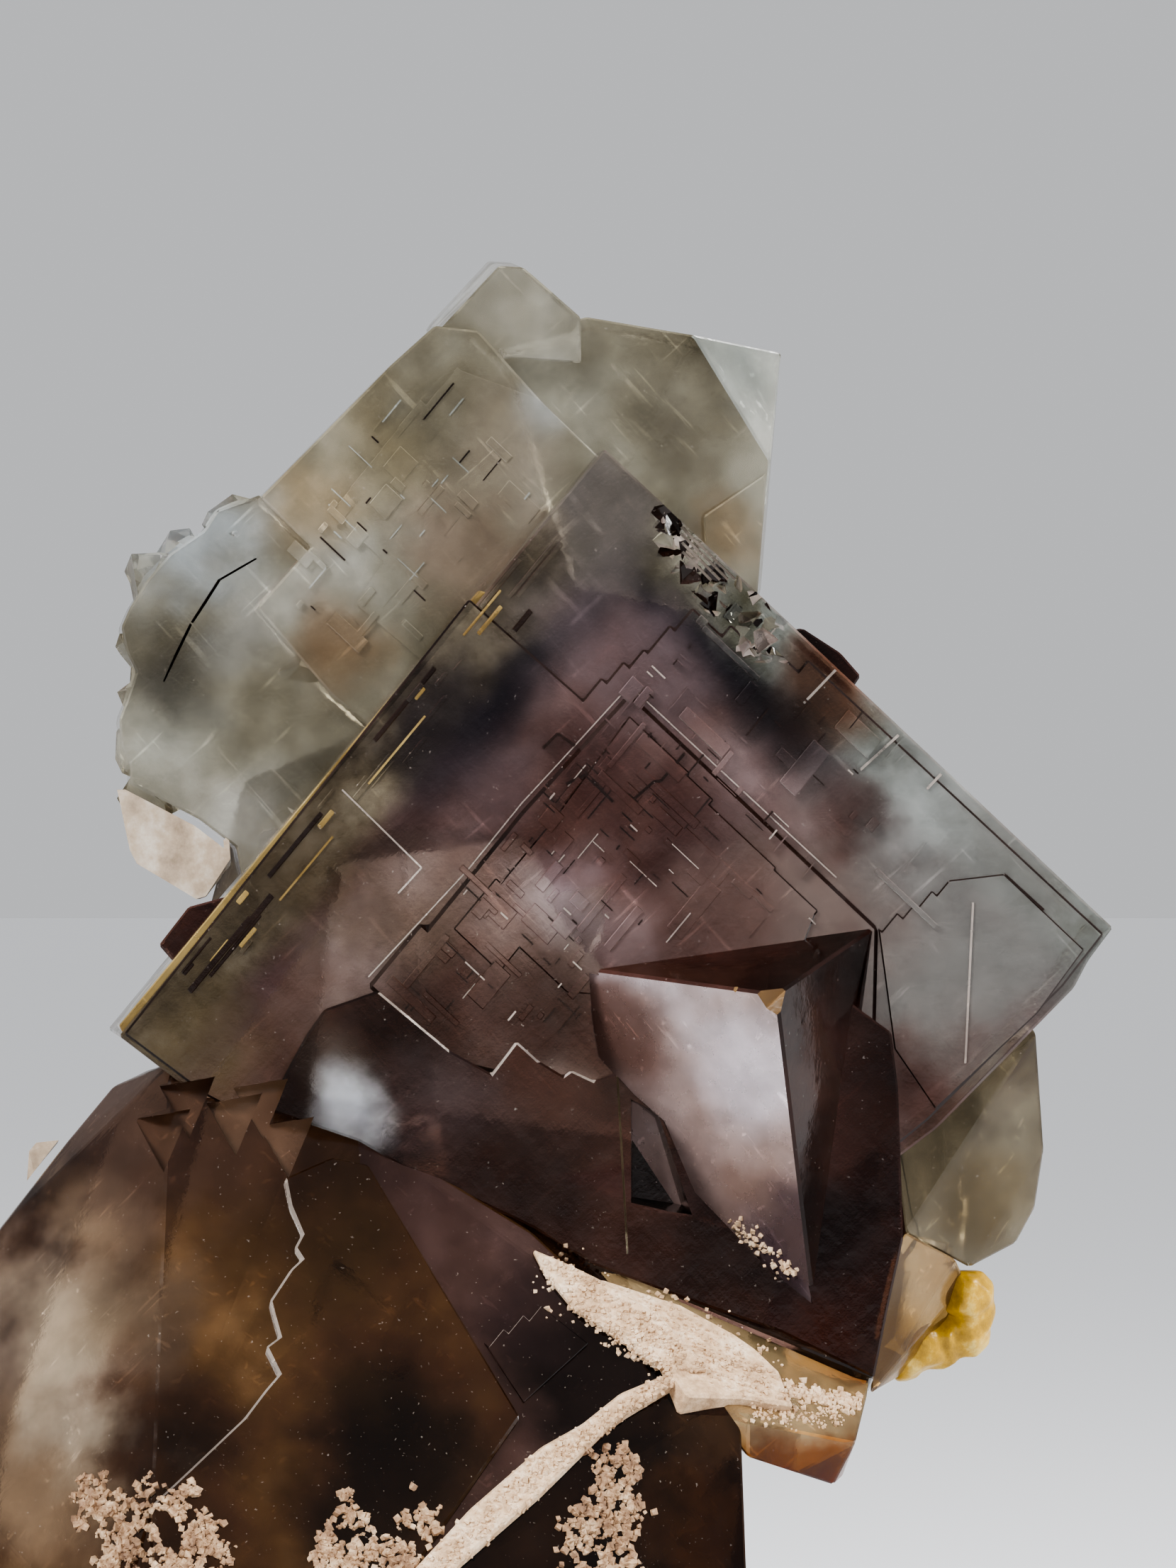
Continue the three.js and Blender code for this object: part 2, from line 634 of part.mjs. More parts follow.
// Patches of small pale crystals low on the specimen
function leftDruse() {
  const outline = [
    [130, 2060], [180, 2020], [215, 2050], [250, 2100], [330, 2120], [360, 2170], [330, 2230],
    [220, 2260], [130, 2220], [100, 2130],
  ];
  const lumps = [
    [140, 2080, 1.3], [185, 2060, 1.2], [190, 2120, 1.5], [240, 2130, 1.4], [290, 2150, 1.4],
    [330, 2180, 1.2], [250, 2200, 1.5], [180, 2190, 1.4], [130, 2150, 1.3], [220, 2240, 1.2],
  ];
  return clearOf([FLUORITE], crust(outline, LEDGE_FACE, 0.3, lumps, 71));
}

function middleDruse() {
  const outline = [
    [430, 2150], [460, 2110], [500, 2085], [530, 2110], [570, 2100], [640, 2095], [600, 2150],
    [560, 2200], [470, 2215],
  ];
  const lumps = [
    [455, 2160, 1.2], [490, 2120, 1.3], [530, 2135, 1.2], [575, 2125, 1.2], [620, 2110, 1],
    [550, 2175, 1.3], [500, 2185, 1.3],
  ];
  return clearOf([FLUORITE, RIDGE_CRUST], crust(outline, LEDGE_FACE, 0.3, lumps, 81));
}

function darkDruse() {
  const outline = [
    [850, 2030], [880, 2045], [870, 2090], [905, 2100], [900, 2150], [860, 2180], [830, 2230],
    [780, 2240], [790, 2190], [830, 2150], [800, 2120], [820, 2080],
  ];
  const lumps = [
    [860, 2060, 0.9], [835, 2100, 1], [880, 2120, 1], [855, 2150, 1.1], [825, 2190, 1],
    [800, 2225, 0.9],
  ];
  return clearOf([FLUORITE, RIDGE_CRUST], crust(outline, DARK_FACE, 0.3, lumps, 91));
}

// Yellow lumps on the outer edge of the tan crystal
function yellowLumps() {
  const places = [
    [1366, 1828, 6.6, 1.5], [1372, 1858, 7.4, 1.5], [1356, 1884, 8, 1.7], [1330, 1896, 7.6, 1.6],
    [1302, 1904, 7.2, 1.5], [1280, 1925, 7, 1.2], [1358, 1850, 10, 1.7], [1330, 1880, 10.5, 1.8],
  ];
  const lumps = places.map(([across, down, depth, radius], i) =>
    lump([across, down, depth], radius, 101 + i, 1.1),
  );
  return clearOf([FLUORITE], join(lumps));
}

function creamCrystal() {
  const solid = block([
    [160, 1114, 7], [195, 1114, 6.6], [282, 1155, 6], [320, 1186, 5.6], [322, 1212, 5.6],
    [281, 1274, 6], [188, 1219, 7], [178, 1200, 7.2], [170, 1120, 12], [300, 1160, 13],
    [320, 1220, 12], [270, 1262, 12],
  ]);
  return clearOf([FLUORITE], solid);
}

function whiteCrystal() {
  const solid = block([
    [33, 1695, 3.4], [38, 1626, 3.4], [48, 1614, 3.6], [94, 1609, 3.8], [92, 1660, 3.4],
    [60, 1720, 3.2], [38, 1690, 7], [46, 1622, 7], [94, 1614, 7], [70, 1720, 7],
  ]);
  return clearOf([FLUORITE], solid);
}

function part(name, solid, color, roughness) {
  const material = new THREE.MeshStandardMaterial({ color, roughness, metalness: 0 });
  const mesh = new THREE.Mesh(geometryOf(solid), material);
  mesh.name = name;
  return mesh;
}

const group = new THREE.Group();
group.add(
  part("fluorite_cluster", FLUORITE, 0x7a6e70, 0.15),
  part("cream_ridge_crust", RIDGE_CRUST, 0xd9c3a6, 0.8),
  part("cream_block_crust", blockCrust(), 0xddccb8, 0.8),
  part("pale_druse_left", leftDruse(), 0xcdb7a0, 0.8),
  part("pale_druse_middle", middleDruse(), 0xcdb7a0, 0.8),
  part("pale_druse_right", darkDruse(), 0xcdb7a0, 0.8),
  part("yellow_lumps", yellowLumps(), 0xb89a3c, 0.5),
  part("cream_crystal", creamCrystal(), 0xd8c8b4, 0.4),
  part("white_crystal", whiteCrystal(), 0xe2d2c4, 0.5),
);

export default group;
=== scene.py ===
"""A fluorite specimen: cubes grown through each other, with crusts and lumps of paler minerals.

Sizes are in millimetres, and each mesh is scaled to metres once it is whole. A place on the
specimen is written (across, down, depth): across and down are read off the front view in units
of UNIT, and depth is in millimetres behind the big cube's front face.
"""

import math
from random import Random

import bmesh
import bpy
from mathutils import Matrix, Vector
from mathutils.bvhtree import BVHTree


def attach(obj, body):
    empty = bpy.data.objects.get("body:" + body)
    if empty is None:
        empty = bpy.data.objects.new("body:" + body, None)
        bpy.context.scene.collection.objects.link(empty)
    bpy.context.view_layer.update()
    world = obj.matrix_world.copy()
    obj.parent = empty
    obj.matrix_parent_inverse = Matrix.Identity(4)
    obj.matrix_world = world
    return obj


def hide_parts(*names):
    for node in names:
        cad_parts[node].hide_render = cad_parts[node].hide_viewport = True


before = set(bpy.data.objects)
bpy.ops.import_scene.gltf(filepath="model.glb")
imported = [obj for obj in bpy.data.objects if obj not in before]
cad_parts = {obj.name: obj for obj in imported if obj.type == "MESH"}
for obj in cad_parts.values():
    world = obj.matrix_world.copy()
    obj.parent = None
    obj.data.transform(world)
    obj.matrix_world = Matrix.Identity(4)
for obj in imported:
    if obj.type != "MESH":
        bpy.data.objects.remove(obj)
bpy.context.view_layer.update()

MM = 0.001
BIG_EDGE = 40  # millimetres, the big cube's upper left edge
BIG_EDGE_UNITS = 1080
UNIT = BIG_EDGE / BIG_EDGE_UNITS
MIDDLE_ACROSS = 665
MIDDLE_DEPTH = 8.93
FLOOR_DOWN = 2560
PHOTO_WIDTH = 1659
PHOTO_HEIGHT = 2212


def corner(place):
    across, down, depth = place
    return Vector(((across - MIDDLE_ACROSS) * UNIT, depth - MIDDLE_DEPTH, (FLOOR_DOWN - down) * UNIT))


def link(piece):
    bpy.context.scene.collection.objects.link(piece)


# Camera, floor and light

CAMERA_DISTANCE = 900
SENSOR_SIZE = 36
LIGHT_AIM = (0, 0, 0.04)
FLOOR_SIZE = 12


def add_camera():
    target = corner((PHOTO_WIDTH / 2, PHOTO_HEIGHT / 2, 0))
    data = bpy.data.cameras.new("camera")
    data.sensor_width = SENSOR_SIZE
    data.lens = SENSOR_SIZE * CAMERA_DISTANCE / (PHOTO_HEIGHT * UNIT)
    camera = bpy.data.objects.new("camera", data)
    camera.location = (target + Vector((0, -CAMERA_DISTANCE, 0))) * MM
    camera.rotation_euler = (math.radians(90), 0, 0)
    link(camera)
    bpy.context.scene.camera = camera


def add_lamp(name, kind, place, way, power):
    """A lamp at a place in metres, its back turned to the given way."""
    data = bpy.data.lights.new(name, kind)
    data.energy = power
    lamp = bpy.data.objects.new(name, data)
    lamp.location = place
    lamp.rotation_euler = Vector(way).to_track_quat("Z", "Y").to_euler()
    link(lamp)
    return data


def add_light(name, place, size, power):
    way = Vector(place) - Vector(LIGHT_AIM)
    data = add_lamp(name, "AREA", place, way, power)
    data.shape = "SQUARE"
    data.size = size


def add_sun(name, way, power, spread):
    add_lamp(name, "SUN", (0, 0, 0), way, power).angle = math.radians(spread)


def add_studio():
    world = bpy.data.worlds.new("studio")
    world.use_nodes = True
    sky = world.node_tree.nodes["Background"]
    sky.inputs["Color"].default_value = (0.8, 0.81, 0.83, 1)
    sky.inputs["Strength"].default_value = 0.56
    bpy.context.scene.world = world
    bpy.context.scene.view_settings.look = "AgX - High Contrast"
    bpy.ops.mesh.primitive_plane_add(size=FLOOR_SIZE, location=(0, 0, 0))
    floor = bpy.context.object
    floor.name = "floor"
    paint = bpy.data.materials.new("floor")
    paint.use_nodes = True
    shader = paint.node_tree.nodes["Principled BSDF"]
    shader.inputs["Base Color"].default_value = (0.755, 0.76, 0.775, 1)
    shader.inputs["Roughness"].default_value = 0.8
    floor.data.materials.append(paint)
    add_light("key", (-0.45, -0.55, 0.55), 0.3, 8)
    add_light("side", (0.6, -0.1, 0.35), 0.2, 4)
    add_sun("back", (0.3, 1.0, 0.9), 0.7, 20)


# Materials: each is one node graph that colours a place on the specimen

def tint(code):
    """A screen colour such as "5b4450" as the linear colour that a shader takes."""
    values = [int(code[i:i + 2], 16) / 255 for i in (0, 2, 4)]
    return tuple(v / 12.92 if v < 0.04045 else ((v + 0.055) / 1.055) ** 2.4 for v in values) + (1,)


class Paint:
    """The node graph of one material, with short ways to add what it needs."""

    def __init__(self, name):
        self.material = bpy.data.materials.new(name)
        self.material.use_nodes = True
        self.tree = self.material.node_tree
        self.shader = self.tree.nodes["Principled BSDF"]
        place = self.tree.nodes.new("ShaderNodeTexCoord").outputs["Object"]
        self.place = self.scaled(place, 1 / MM)
        apart = self.tree.nodes.new("ShaderNodeSeparateXYZ")
        self.feed(apart.inputs[0], self.place)
        unit = self.math("DIVIDE", apart.outputs[0], UNIT)
        self.across = self.math("ADD", unit, MIDDLE_ACROSS)
        self.down = self.math("SUBTRACT", FLOOR_DOWN, self.math("DIVIDE", apart.outputs[2], UNIT))

    def feed(self, socket, value):
        if isinstance(value, bpy.types.NodeSocket):
            self.tree.links.new(value, socket)
        elif value is not None:
            socket.default_value = value

    def node(self, kind, *inputs, output=0, **settings):
        node = self.tree.nodes.new(kind)
        for key, value in settings.items():
            setattr(node, key, value)
        for socket, value in zip(node.inputs, inputs):
            self.feed(socket, value)
        return node.outputs[output]

    def math(self, operation, first, second):
        return self.node("ShaderNodeMath", first, second, operation=operation)

    def vector(self, operation, first, second, output=0):
        return self.node("ShaderNodeVectorMath", first, second, operation=operation, output=output)

    def smooth(self, value, low, high, start=0.0, end=1.0):
        return self.node(
            "ShaderNodeMapRange", value, low, high, start, end, interpolation_type="SMOOTHSTEP"
        )

    def mix(self, factor, first, second):
        unused = [None] * 5
        return self.node("ShaderNodeMix", factor, *unused, first, second, output=2, data_type="RGBA")

    def noise(self, scale, detail=3.0, roughness=0.55, at=None):
        return self.node("ShaderNodeTexNoise", at or self.place, None, scale, detail, roughness)

    def ramp(self, value, stops):
        node = self.tree.nodes.new("ShaderNodeValToRGB")
        self.feed(node.inputs[0], value)
        elements = node.color_ramp.elements
        while len(elements) < len(stops):
            elements.new(0.5)
        for element, (position, code) in zip(elements, stops):
            element.position = position
            element.color = tint(code)
        return node.outputs[0]

    def stretched(self, along, by):
        """The place, squeezed along one direction so that a texture runs along it."""
        turned = self.node("ShaderNodeVectorRotate", self.place, (0, 0, 0), (0, 1, 0), math.radians(along))
        return self.vector("MULTIPLY", turned, (1 / by, 1, 1))

    def distance(self, place):
        """Millimetres from one place of the front view, depth counting less than height."""
        weights = Vector((1, DEPTH_WEIGHT, 1))
        spot = corner((*place, 0)) * weights
        return self.vector("DISTANCE", self.vector("MULTIPLY", self.place, weights), spot, output=1)

    def wobbled(self, value, size, *noise):
        """A value plus a noise that swings around nothing."""
        swing = self.math("MULTIPLY", self.math("SUBTRACT", self.noise(*noise), 0.5), size)
        return self.math("ADD", value, swing)

    def cloud(self, colour, across, down, radius, code, strength):
        """A soft-edged cloud of another colour around one place."""
        reach = self.wobbled(self.distance((across, down)), CLOUD_WOBBLE * radius, 0.15, 5, 0.5)
        amount = self.smooth(reach, radius * 1.15, radius * 0.2, 0.0, strength)
        return self.mix(amount, colour, tint(code))

    def scaled(self, colour, by):
        return self.node("ShaderNodeVectorMath", colour, None, None, by, operation="SCALE")

    def finish(self, colour, roughness, height, bump, transmission, ior):
        """Feeds the shader and gives the finished material."""
        shader = self.shader
        self.feed(shader.inputs["Base Color"], colour)
        self.feed(shader.inputs["Roughness"], roughness)
        shader.inputs["IOR"].default_value = ior
        shader.inputs["Transmission Weight"].default_value = transmission
        node = self.tree.nodes.new("ShaderNodeBump")
        node.inputs["Strength"].default_value = bump
        node.inputs["Distance"].default_value = BUMP_DEPTH
        self.feed(node.inputs["Height"], height)
        self.feed(shader.inputs["Normal"], node.outputs[0])
        return self.material


FLUORITE_IOR = 1.434
CALCITE_IOR = 1.5
CLEAR = 0.78  # how much of the light goes through the crystal
DEPTH_OF_COLOUR = 1.4  # above 1 deepens the crystals' colours
BUMP_DEPTH = 0.0002
CRYSTAL_BUMP = 0.08
CLOUD_WOBBLE = 2.4
DEPTH_WEIGHT = 0.2  # how much depth counts in a cloud's reach
SCRATCH_ANGLES = (43, -48)  # degrees, close to the big cube's edges


def smoke_and_glints(paint, colour):
    """Adds smoke, crossed scratch lines painted lighter as highlights, and specks of painted sparkle."""
    smoke = paint.smooth(paint.noise(0.45, 10, 0.66), 0.35, 0.65, 0, 0.4)
    colour = paint.mix(smoke, colour, paint.scaled(colour, 0.5))
    # The scratches are marks on the crystal, lightened as painted highlights.
    for angle in SCRATCH_ANGLES:
        lines = paint.noise(2.6, 2, 0.5, paint.stretched(angle, 22))
        gaps = paint.smooth(paint.noise(0.35, 3), 0.45, 0.6)
        amount = paint.math("MULTIPLY", paint.smooth(lines, 0.63, 0.72, 0, 0.5), gaps)
        colour = paint.mix(amount, colour, paint.scaled(colour, 2.2))
    # Pale specks: painted sparkle.
    sparkle = paint.smooth(paint.noise(5, 2, 0.5), 0.7, 0.76, 0, 0.5)
    return paint.mix(sparkle, colour, tint("d9cdc6"))


def relief(paint):
    """Fine crossed lines and a slight unevenness, for the crystal's bump."""
    first, second = [paint.noise(1.4, 3, 0.6, paint.stretched(angle, 12)) for angle in SCRATCH_ANGLES]
    return paint.math("ADD", paint.math("MULTIPLY", first, second), paint.noise(1.1, 5, 0.6))


MATERIALS = {}


def crystal(name, stops, clouds=(), gloss=(0.05, 0.2), transmission=CLEAR, shade=None):
    """A crystal whose colour drifts through some stops, with clouds of other colours in it.

    Each cloud is given by across, down, radius, colour and strength; a few pale clouds are painted glare, as
    noted where they are listed.
    """
    paint = Paint("fluorite_" + name)
    colour = paint.ramp(paint.noise(0.12, 3, 0.5), stops)
    if shade:
        colour = shade(paint, colour)
    for cloud in clouds:
        colour = paint.cloud(colour, *cloud)
    colour = smoke_and_glints(paint, paint.node("ShaderNodeGamma", colour, DEPTH_OF_COLOUR))
    polish = paint.smooth(paint.noise(0.5, 5), 0.35, 0.7, *gloss)
    bump = relief(paint), CRYSTAL_BUMP
    MATERIALS[name] = paint.finish(colour, polish, *bump, transmission, FLUORITE_IOR)


BIG_TOP = Vector((853, 633))
BIG_RIGHT = Vector((1571, 1309))
BIG_LEFT = Vector((169, 1461))
ALONG_RIGHT = (BIG_RIGHT - BIG_TOP).normalized()
ALONG_LEFT = (BIG_LEFT - BIG_TOP).normalized()


def from_edge(paint, along):
    """Millimetres inside one of the big cube's two upper edges."""
    inward = Vector((-along.y, along.x))
    if inward.y < 0:
        inward = -inward
    start = corner((*BIG_TOP, 0))
    relative = paint.vector("SUBTRACT", paint.place, start)
    return paint.vector("DOT_PRODUCT", relative, (inward.x, 0, -inward.y), output=1)


def zones(paint, core):
    """The big cube's zones: a clear rim, a dark violet band inside it, then the core."""
    edge = paint.math("MINIMUM", from_edge(paint, ALONG_LEFT), from_edge(paint, ALONG_RIGHT))
    inside = paint.wobbled(edge, 3.2, 0.22, 6, 0.6)
    drift = paint.noise(0.25, 7, 0.62)
    left_rim = paint.ramp(drift, [(0.35, "64594b"), (0.5, "8f8370"), (0.65, "bbb19f")])
    # The right part of the rim is paler: its own pale colour with painted highlight.
    right_rim_with_highlight = paint.ramp(drift, [(0.35, "81816f"), (0.5, "aeb2ad"), (0.65, "d3d6cf")])
    rim = paint.mix(paint.smooth(paint.across, 800, 1150), left_rim, right_rim_with_highlight)
    fade = paint.smooth(paint.distance(BIG_TOP), 24, 15, 0.3, 1)
    band = paint.mix(fade, core, tint("403a44"))
    inner = paint.mix(paint.smooth(inside, 3.8, 7), band, core)
    return paint.mix(paint.smooth(inside, 2.4, 4.2), rim, inner)


def fading(paint, colour):
    """The amber block: cream at its top, amber, then orange-red at its lower right."""
    height = paint.wobbled(paint.down, 90, 0.5, 5)
    colour = paint.mix(paint.smooth(height, 2000, 2050), tint("e8d3b0"), colour)
    return paint.mix(paint.smooth(height, 2060, 2100), colour, tint("9a3c12"))


def mineral(name, stops, roughness, grain, bump, transmission=0.0):
    """A sugary or waxy mineral with a grain of its own."""
    paint = Paint(name)
    patches = paint.noise(0.5, 5, 0.65)
    fine = paint.noise(grain, 4, 0.7)
    blend = paint.math("ADD", paint.math("MULTIPLY", patches, 0.6), paint.math("MULTIPLY", fine, 0.4))
    colour = paint.ramp(blend, stops)
    return paint.finish(colour, roughness, fine, bump, transmission, CALCITE_IOR)


# The pale blue-white clouds at (500, 1560) and (1300, 1140) are painted glare.
crystal(
    "zoned",
    [(0.32, "6c4a41"), (0.44, "8d6d64"), (0.54, "a8908b"), (0.66, "c8b6b5")],
    [(853, 760, 6, "989190", 0.85), (770, 860, 4, "8f8784", 0.8), (890, 930, 6, "a9999c", 0.8),
     (960, 1180, 5, "5e3a33", 0.8), (640, 1450, 7, "56352d", 0.8), (800, 1400, 6, "5a382f", 0.85),
     (850, 1090, 4.5, "6d4a45", 0.7), (1340, 1250, 12, "b5b4b0", 0.95),
     (1130, 1290, 5.5, "b5a199", 0.85), (800, 1262, 4, "dccdd2", 0.95), (1000, 1300, 4, "a08780", 0.7),
     (1155, 978, 3.4, "a5683c", 0.85), (1105, 1010, 4, "352626", 0.8), (620, 1010, 5, "443a46", 0.8),
     (440, 1240, 5, "7d6c55", 0.7), (560, 1280, 4, "8a7468", 0.7), (1300, 1140, 4, "e3e6e4", 0.9),
     (500, 1560, 2.8, "eef3fa", 0.9), (300, 1480, 4, "9a8a6c", 0.7), (700, 1130, 3.5, "8d7d80", 0.7)],
    shade=zones,
)
# The near-white clouds at (250, 760), (215, 1040), (330, 900) and (765, 575) are painted glints.
crystal(
    "rear",
    [(0.32, "8b8370"), (0.45, "b0aa99"), (0.56, "cbc7ba"), (0.68, "e8e6de")],
    [(470, 900, 3.4, "c9a17a", 0.5), (520, 640, 4, "b9aa88", 0.5), (430, 720, 3, "d6bb90", 0.5),
     (250, 760, 5, "e0e6ea", 0.8), (215, 1040, 4, "dcdcd2", 0.7), (230, 960, 4, "6c6861", 0.8),
     (330, 900, 3, "cfd0cf", 0.7), (295, 790, 1.3, "d9a765", 0.8), (765, 575, 1.8, "eef4f8", 0.9),
     (700, 640, 4, "c4b8a8", 0.7), (650, 780, 4, "c0a797", 0.6)],
)
# The blue-white cloud at (820, 580) is a painted highlight.
crystal(
    "upper",
    [(0.32, "847d6b"), (0.48, "b2ac9b"), (0.62, "dad7ca")],
    [(1030, 740, 3, "cdb08a", 0.7), (1060, 540, 3.6, "dcdbd3", 0.9), (820, 580, 2.2, "f0f5f9", 0.9),
     (960, 600, 4, "8a8272", 0.6)],
)
# The white-blue cloud at (494, 1555) is painted glare, and the lavender-grey clouds at (620, 1530) and (470,
# 1500) are painted highlight.
crystal(
    "dark",
    [(0.3, "20100c"), (0.46, "46281f"), (0.58, "643f34"), (0.72, "80594f")],
    [(1190, 1890, 3, "7d451f", 0.9), (620, 1530, 4, "7b686c", 0.7), (470, 1500, 3, "6f6058", 0.7),
     (494, 1555, 2.7, "f2f6ff", 1.0), (800, 1600, 5, "5b413b", 0.7), (1240, 1600, 3, "4c2a1e", 0.7)],
)
# The twin's pale face: frosted, with painted glare in its colour and its bright clouds.
crystal(
    "frost_and_glare",
    [(0.3, "a8948c"), (0.5, "cbbcb8"), (0.7, "efe9ee")],
    [(870, 1430, 5, "8b7169", 0.85), (1060, 1500, 4, "f0eaf0", 0.8), (1115, 1760, 4.5, "6f6068", 0.85)],
    gloss=(0.18, 0.4),
    transmission=0.5,
)
crystal(
    "pale", [(0.32, "7d735f"), (0.5, "aba08a"), (0.68, "dcd3be")],
    [(1440, 1560, 3, "d8cfbb", 0.7), (1400, 1700, 3, "8f7a4d", 0.7)],
)
crystal(
    "tan", [(0.32, "8a6a3e"), (0.5, "bb9a64"), (0.7, "e6d3a6")],
    [(1300, 1800, 4, "cdb9a0", 0.85)],
)
crystal("amber", [(0.3, "8a4c18"), (0.5, "b8742e"), (0.7, "d79f58")], shade=fading)
# The whitish clouds at (75, 1860), (140, 2010) and (130, 1700) are painted glare.
crystal(
    "brown",
    [(0.3, "452c1c"), (0.45, "664630"), (0.58, "80603f"), (0.72, "a78663")],
    [(40, 1930, 9, "c8b3a6", 0.85), (60, 2080, 7, "bda58c", 0.8), (75, 1860, 4.5, "efe0cc", 0.85),
     (140, 2010, 4, "efe6d8", 0.8), (130, 1700, 3, "e0c9b0", 0.8), (180, 1590, 6, "94796c", 0.8),
     (330, 1620, 4, "8a6c5c", 0.7), (560, 2080, 7.5, "1d110b", 0.85), (260, 2000, 4.5, "2a1a12", 0.8),
     (470, 1800, 6, "5d4527", 0.7), (200, 1850, 4, "705a45", 0.6)],
)
crystal(
    "mauve", [(0.3, "4a3433"), (0.5, "735856"), (0.7, "9a8082")],
    [(850, 1930, 7, "20120f", 0.95), (730, 1830, 3.5, "4f3b40", 0.7)],
)
# Step is painted shade: dark step walls, dark lines, crack and pit walls, and the slab's underside.
crystal("step_shade", [(0.3, "2a1e1b"), (0.6, "52403a")], transmission=0.5)
# Glint is a painted highlight: pale lines, edges and slits standing in for glints.
crystal("glint", [(0.3, "b5aaa2"), (0.6, "ddd4cd")], gloss=(0.2, 0.4), transmission=0.6)
# Ice is a pale blue-white used as painted highlight: the tall crystal's lit cut corner, some rear knobs and
# lines.
crystal("ice_highlight", [(0.3, "b4b9b6"), (0.6, "eceeea")])
crystal("broken", [(0.3, "4b4136"), (0.5, "7a6c5a"), (0.7, "a3957f")], gloss=(0.3, 0.55))
crystal("blush", [(0.3, "7c5f4e"), (0.6, "b79c88")], transmission=0.6)
# Gold is a golden colour brightened as painted light, for the big cube's lit upper left side and edges.
crystal("lit_gold", [(0.35, "9a7f4c"), (0.6, "e0cb98")], gloss=(0.1, 0.3), transmission=0.6)
# Smoky is the dark crystal's own near-black brown, and also painted shade on the walls of the twin's hollow
# and of some pits.
crystal(
    "smoky_and_shade", [(0.3, "0c0605"), (0.5, "22140e"), (0.7, "41291c")],
    [(990, 2150, 4.5, "6a4223", 0.85), (1010, 2000, 3, "8d6a4c", 0.7)],
)
SLOTS = list(MATERIALS)


# Solids: each is an object in millimetres, joined to the others or cut from them

def solid(shape, paint, bevel=0.0):
    """A closed shape as an object, its edges softened by a small bevel."""
    if bevel:
        bmesh.ops.bevel(
            shape, geom=list(shape.edges), offset=bevel, segments=1, affect="EDGES", clamp_overlap=True
        )
    bmesh.ops.recalc_face_normals(shape, faces=list(shape.faces))
    return as_object("solid", shape, SLOTS.index(paint), MATERIALS.values())


def as_object(name, shape, index, materials):
    """A shape as an object, all its faces with one of the materials."""
    for face in shape.faces:
        face.material_index = index
    mesh = bpy.data.meshes.new(name)
    shape.to_mesh(mesh)
    shape.free()
    for material in materials:
        mesh.materials.append(material)
    return bpy.data.objects.new(name, mesh)


def evaluated_mesh(piece):
    """The mesh of a piece with its modifiers applied."""
    return bpy.data.meshes.new_from_object(piece.evaluated_get(bpy.context.evaluated_depsgraph_get()))


def repaint(piece, paint, test):
    """Gives another paint to the faces that pass a test."""
    for polygon in piece.data.polygons:
        if test(polygon):
            polygon.material_index = SLOTS.index(paint)


def merge_flat(shape, degrees):
    """Merges faces that are flat to each other within some degrees."""
    limit = math.radians(degrees)
    bmesh.ops.dissolve_limit(shape, angle_limit=limit, verts=list(shape.verts), edges=list(shape.edges))


def hull(points, paint, bevel=0.0):
    shape = bmesh.new()
    for point in points:
        shape.verts.new(point)
    result = bmesh.ops.convex_hull(shape, input=list(shape.verts), use_existing_faces=False)
    loose = {v for v in result["geom_interior"] + result["geom_unused"] if isinstance(v, bmesh.types.BMVert)}
    bmesh.ops.delete(shape, geom=list(loose), context="VERTS")
    merge_flat(shape, 1)
    return solid(shape, paint, bevel)


def block(places, paint, bevel=0.1):
    return hull([corner(place) for place in places], paint, bevel)


class Face:
    """A sloping face: its depth at one point, and how the depth changes across and upwards."""

    def __init__(self, at, across, up):
        self.at = at
        self.across = across
        self.up = up

    def lifted(self, height):
        return Face(self.at - Vector((0, height, 0)), self.across, self.up)

    def point(self, place):
        x, _, z = corner((*place, 0))
        return Vector((x, self.at.y + self.across * (x - self.at.x) + self.up * (z - self.at.z), z))


def face_through(places):
    a, b, c = [corner(place) for place in places]
    normal = (b - a).cross(c - a)
    return Face(a, -normal.x / normal.y, -normal.z / normal.y)


def plate(outline, face, thickness, paint, bevel=0.06, sides=None):
    """A plate whose outline is drawn on the front view, its front in the given face."""
    shape = bmesh.new()
    back = Vector((-face.across, 1, -face.up)) * thickness
    front = [shape.verts.new(face.point(place)) for place in outline]
    rear = [shape.verts.new(vertex.co + back) for vertex in front]
    shape.faces.new(front)
    shape.faces.new(reversed(rear))
    for i, vertex in enumerate(front):
        shape.faces.new([vertex, front[i - 1], rear[i - 1], rear[i]])
    bmesh.ops.recalc_face_normals(shape, faces=list(shape.faces))
    bmesh.ops.triangulate(shape, faces=[f for f in shape.faces if len(f.verts) > 4])
    merge_flat(shape, 0.5)
    piece = solid(shape, paint, bevel)
    if sides:
        repaint_sides(piece, face, sides)
    return piece


def repaint_sides(piece, face, paint, windows=None):
    """Paints a plate's sides, everywhere or only inside some windows of the front view."""
    normal = Vector((face.across, -1, face.up)).normalized()

    def on_side(polygon):
        across = polygon.center.x / UNIT + MIDDLE_ACROSS
        down = FLOOR_DOWN - polygon.center.z / UNIT
        inside = windows is None or any(
            left < across < right and top < down < bottom for left, top, right, bottom in windows
        )
        return inside and polygon.normal.dot(normal) < 0.95

    repaint(piece, paint, on_side)


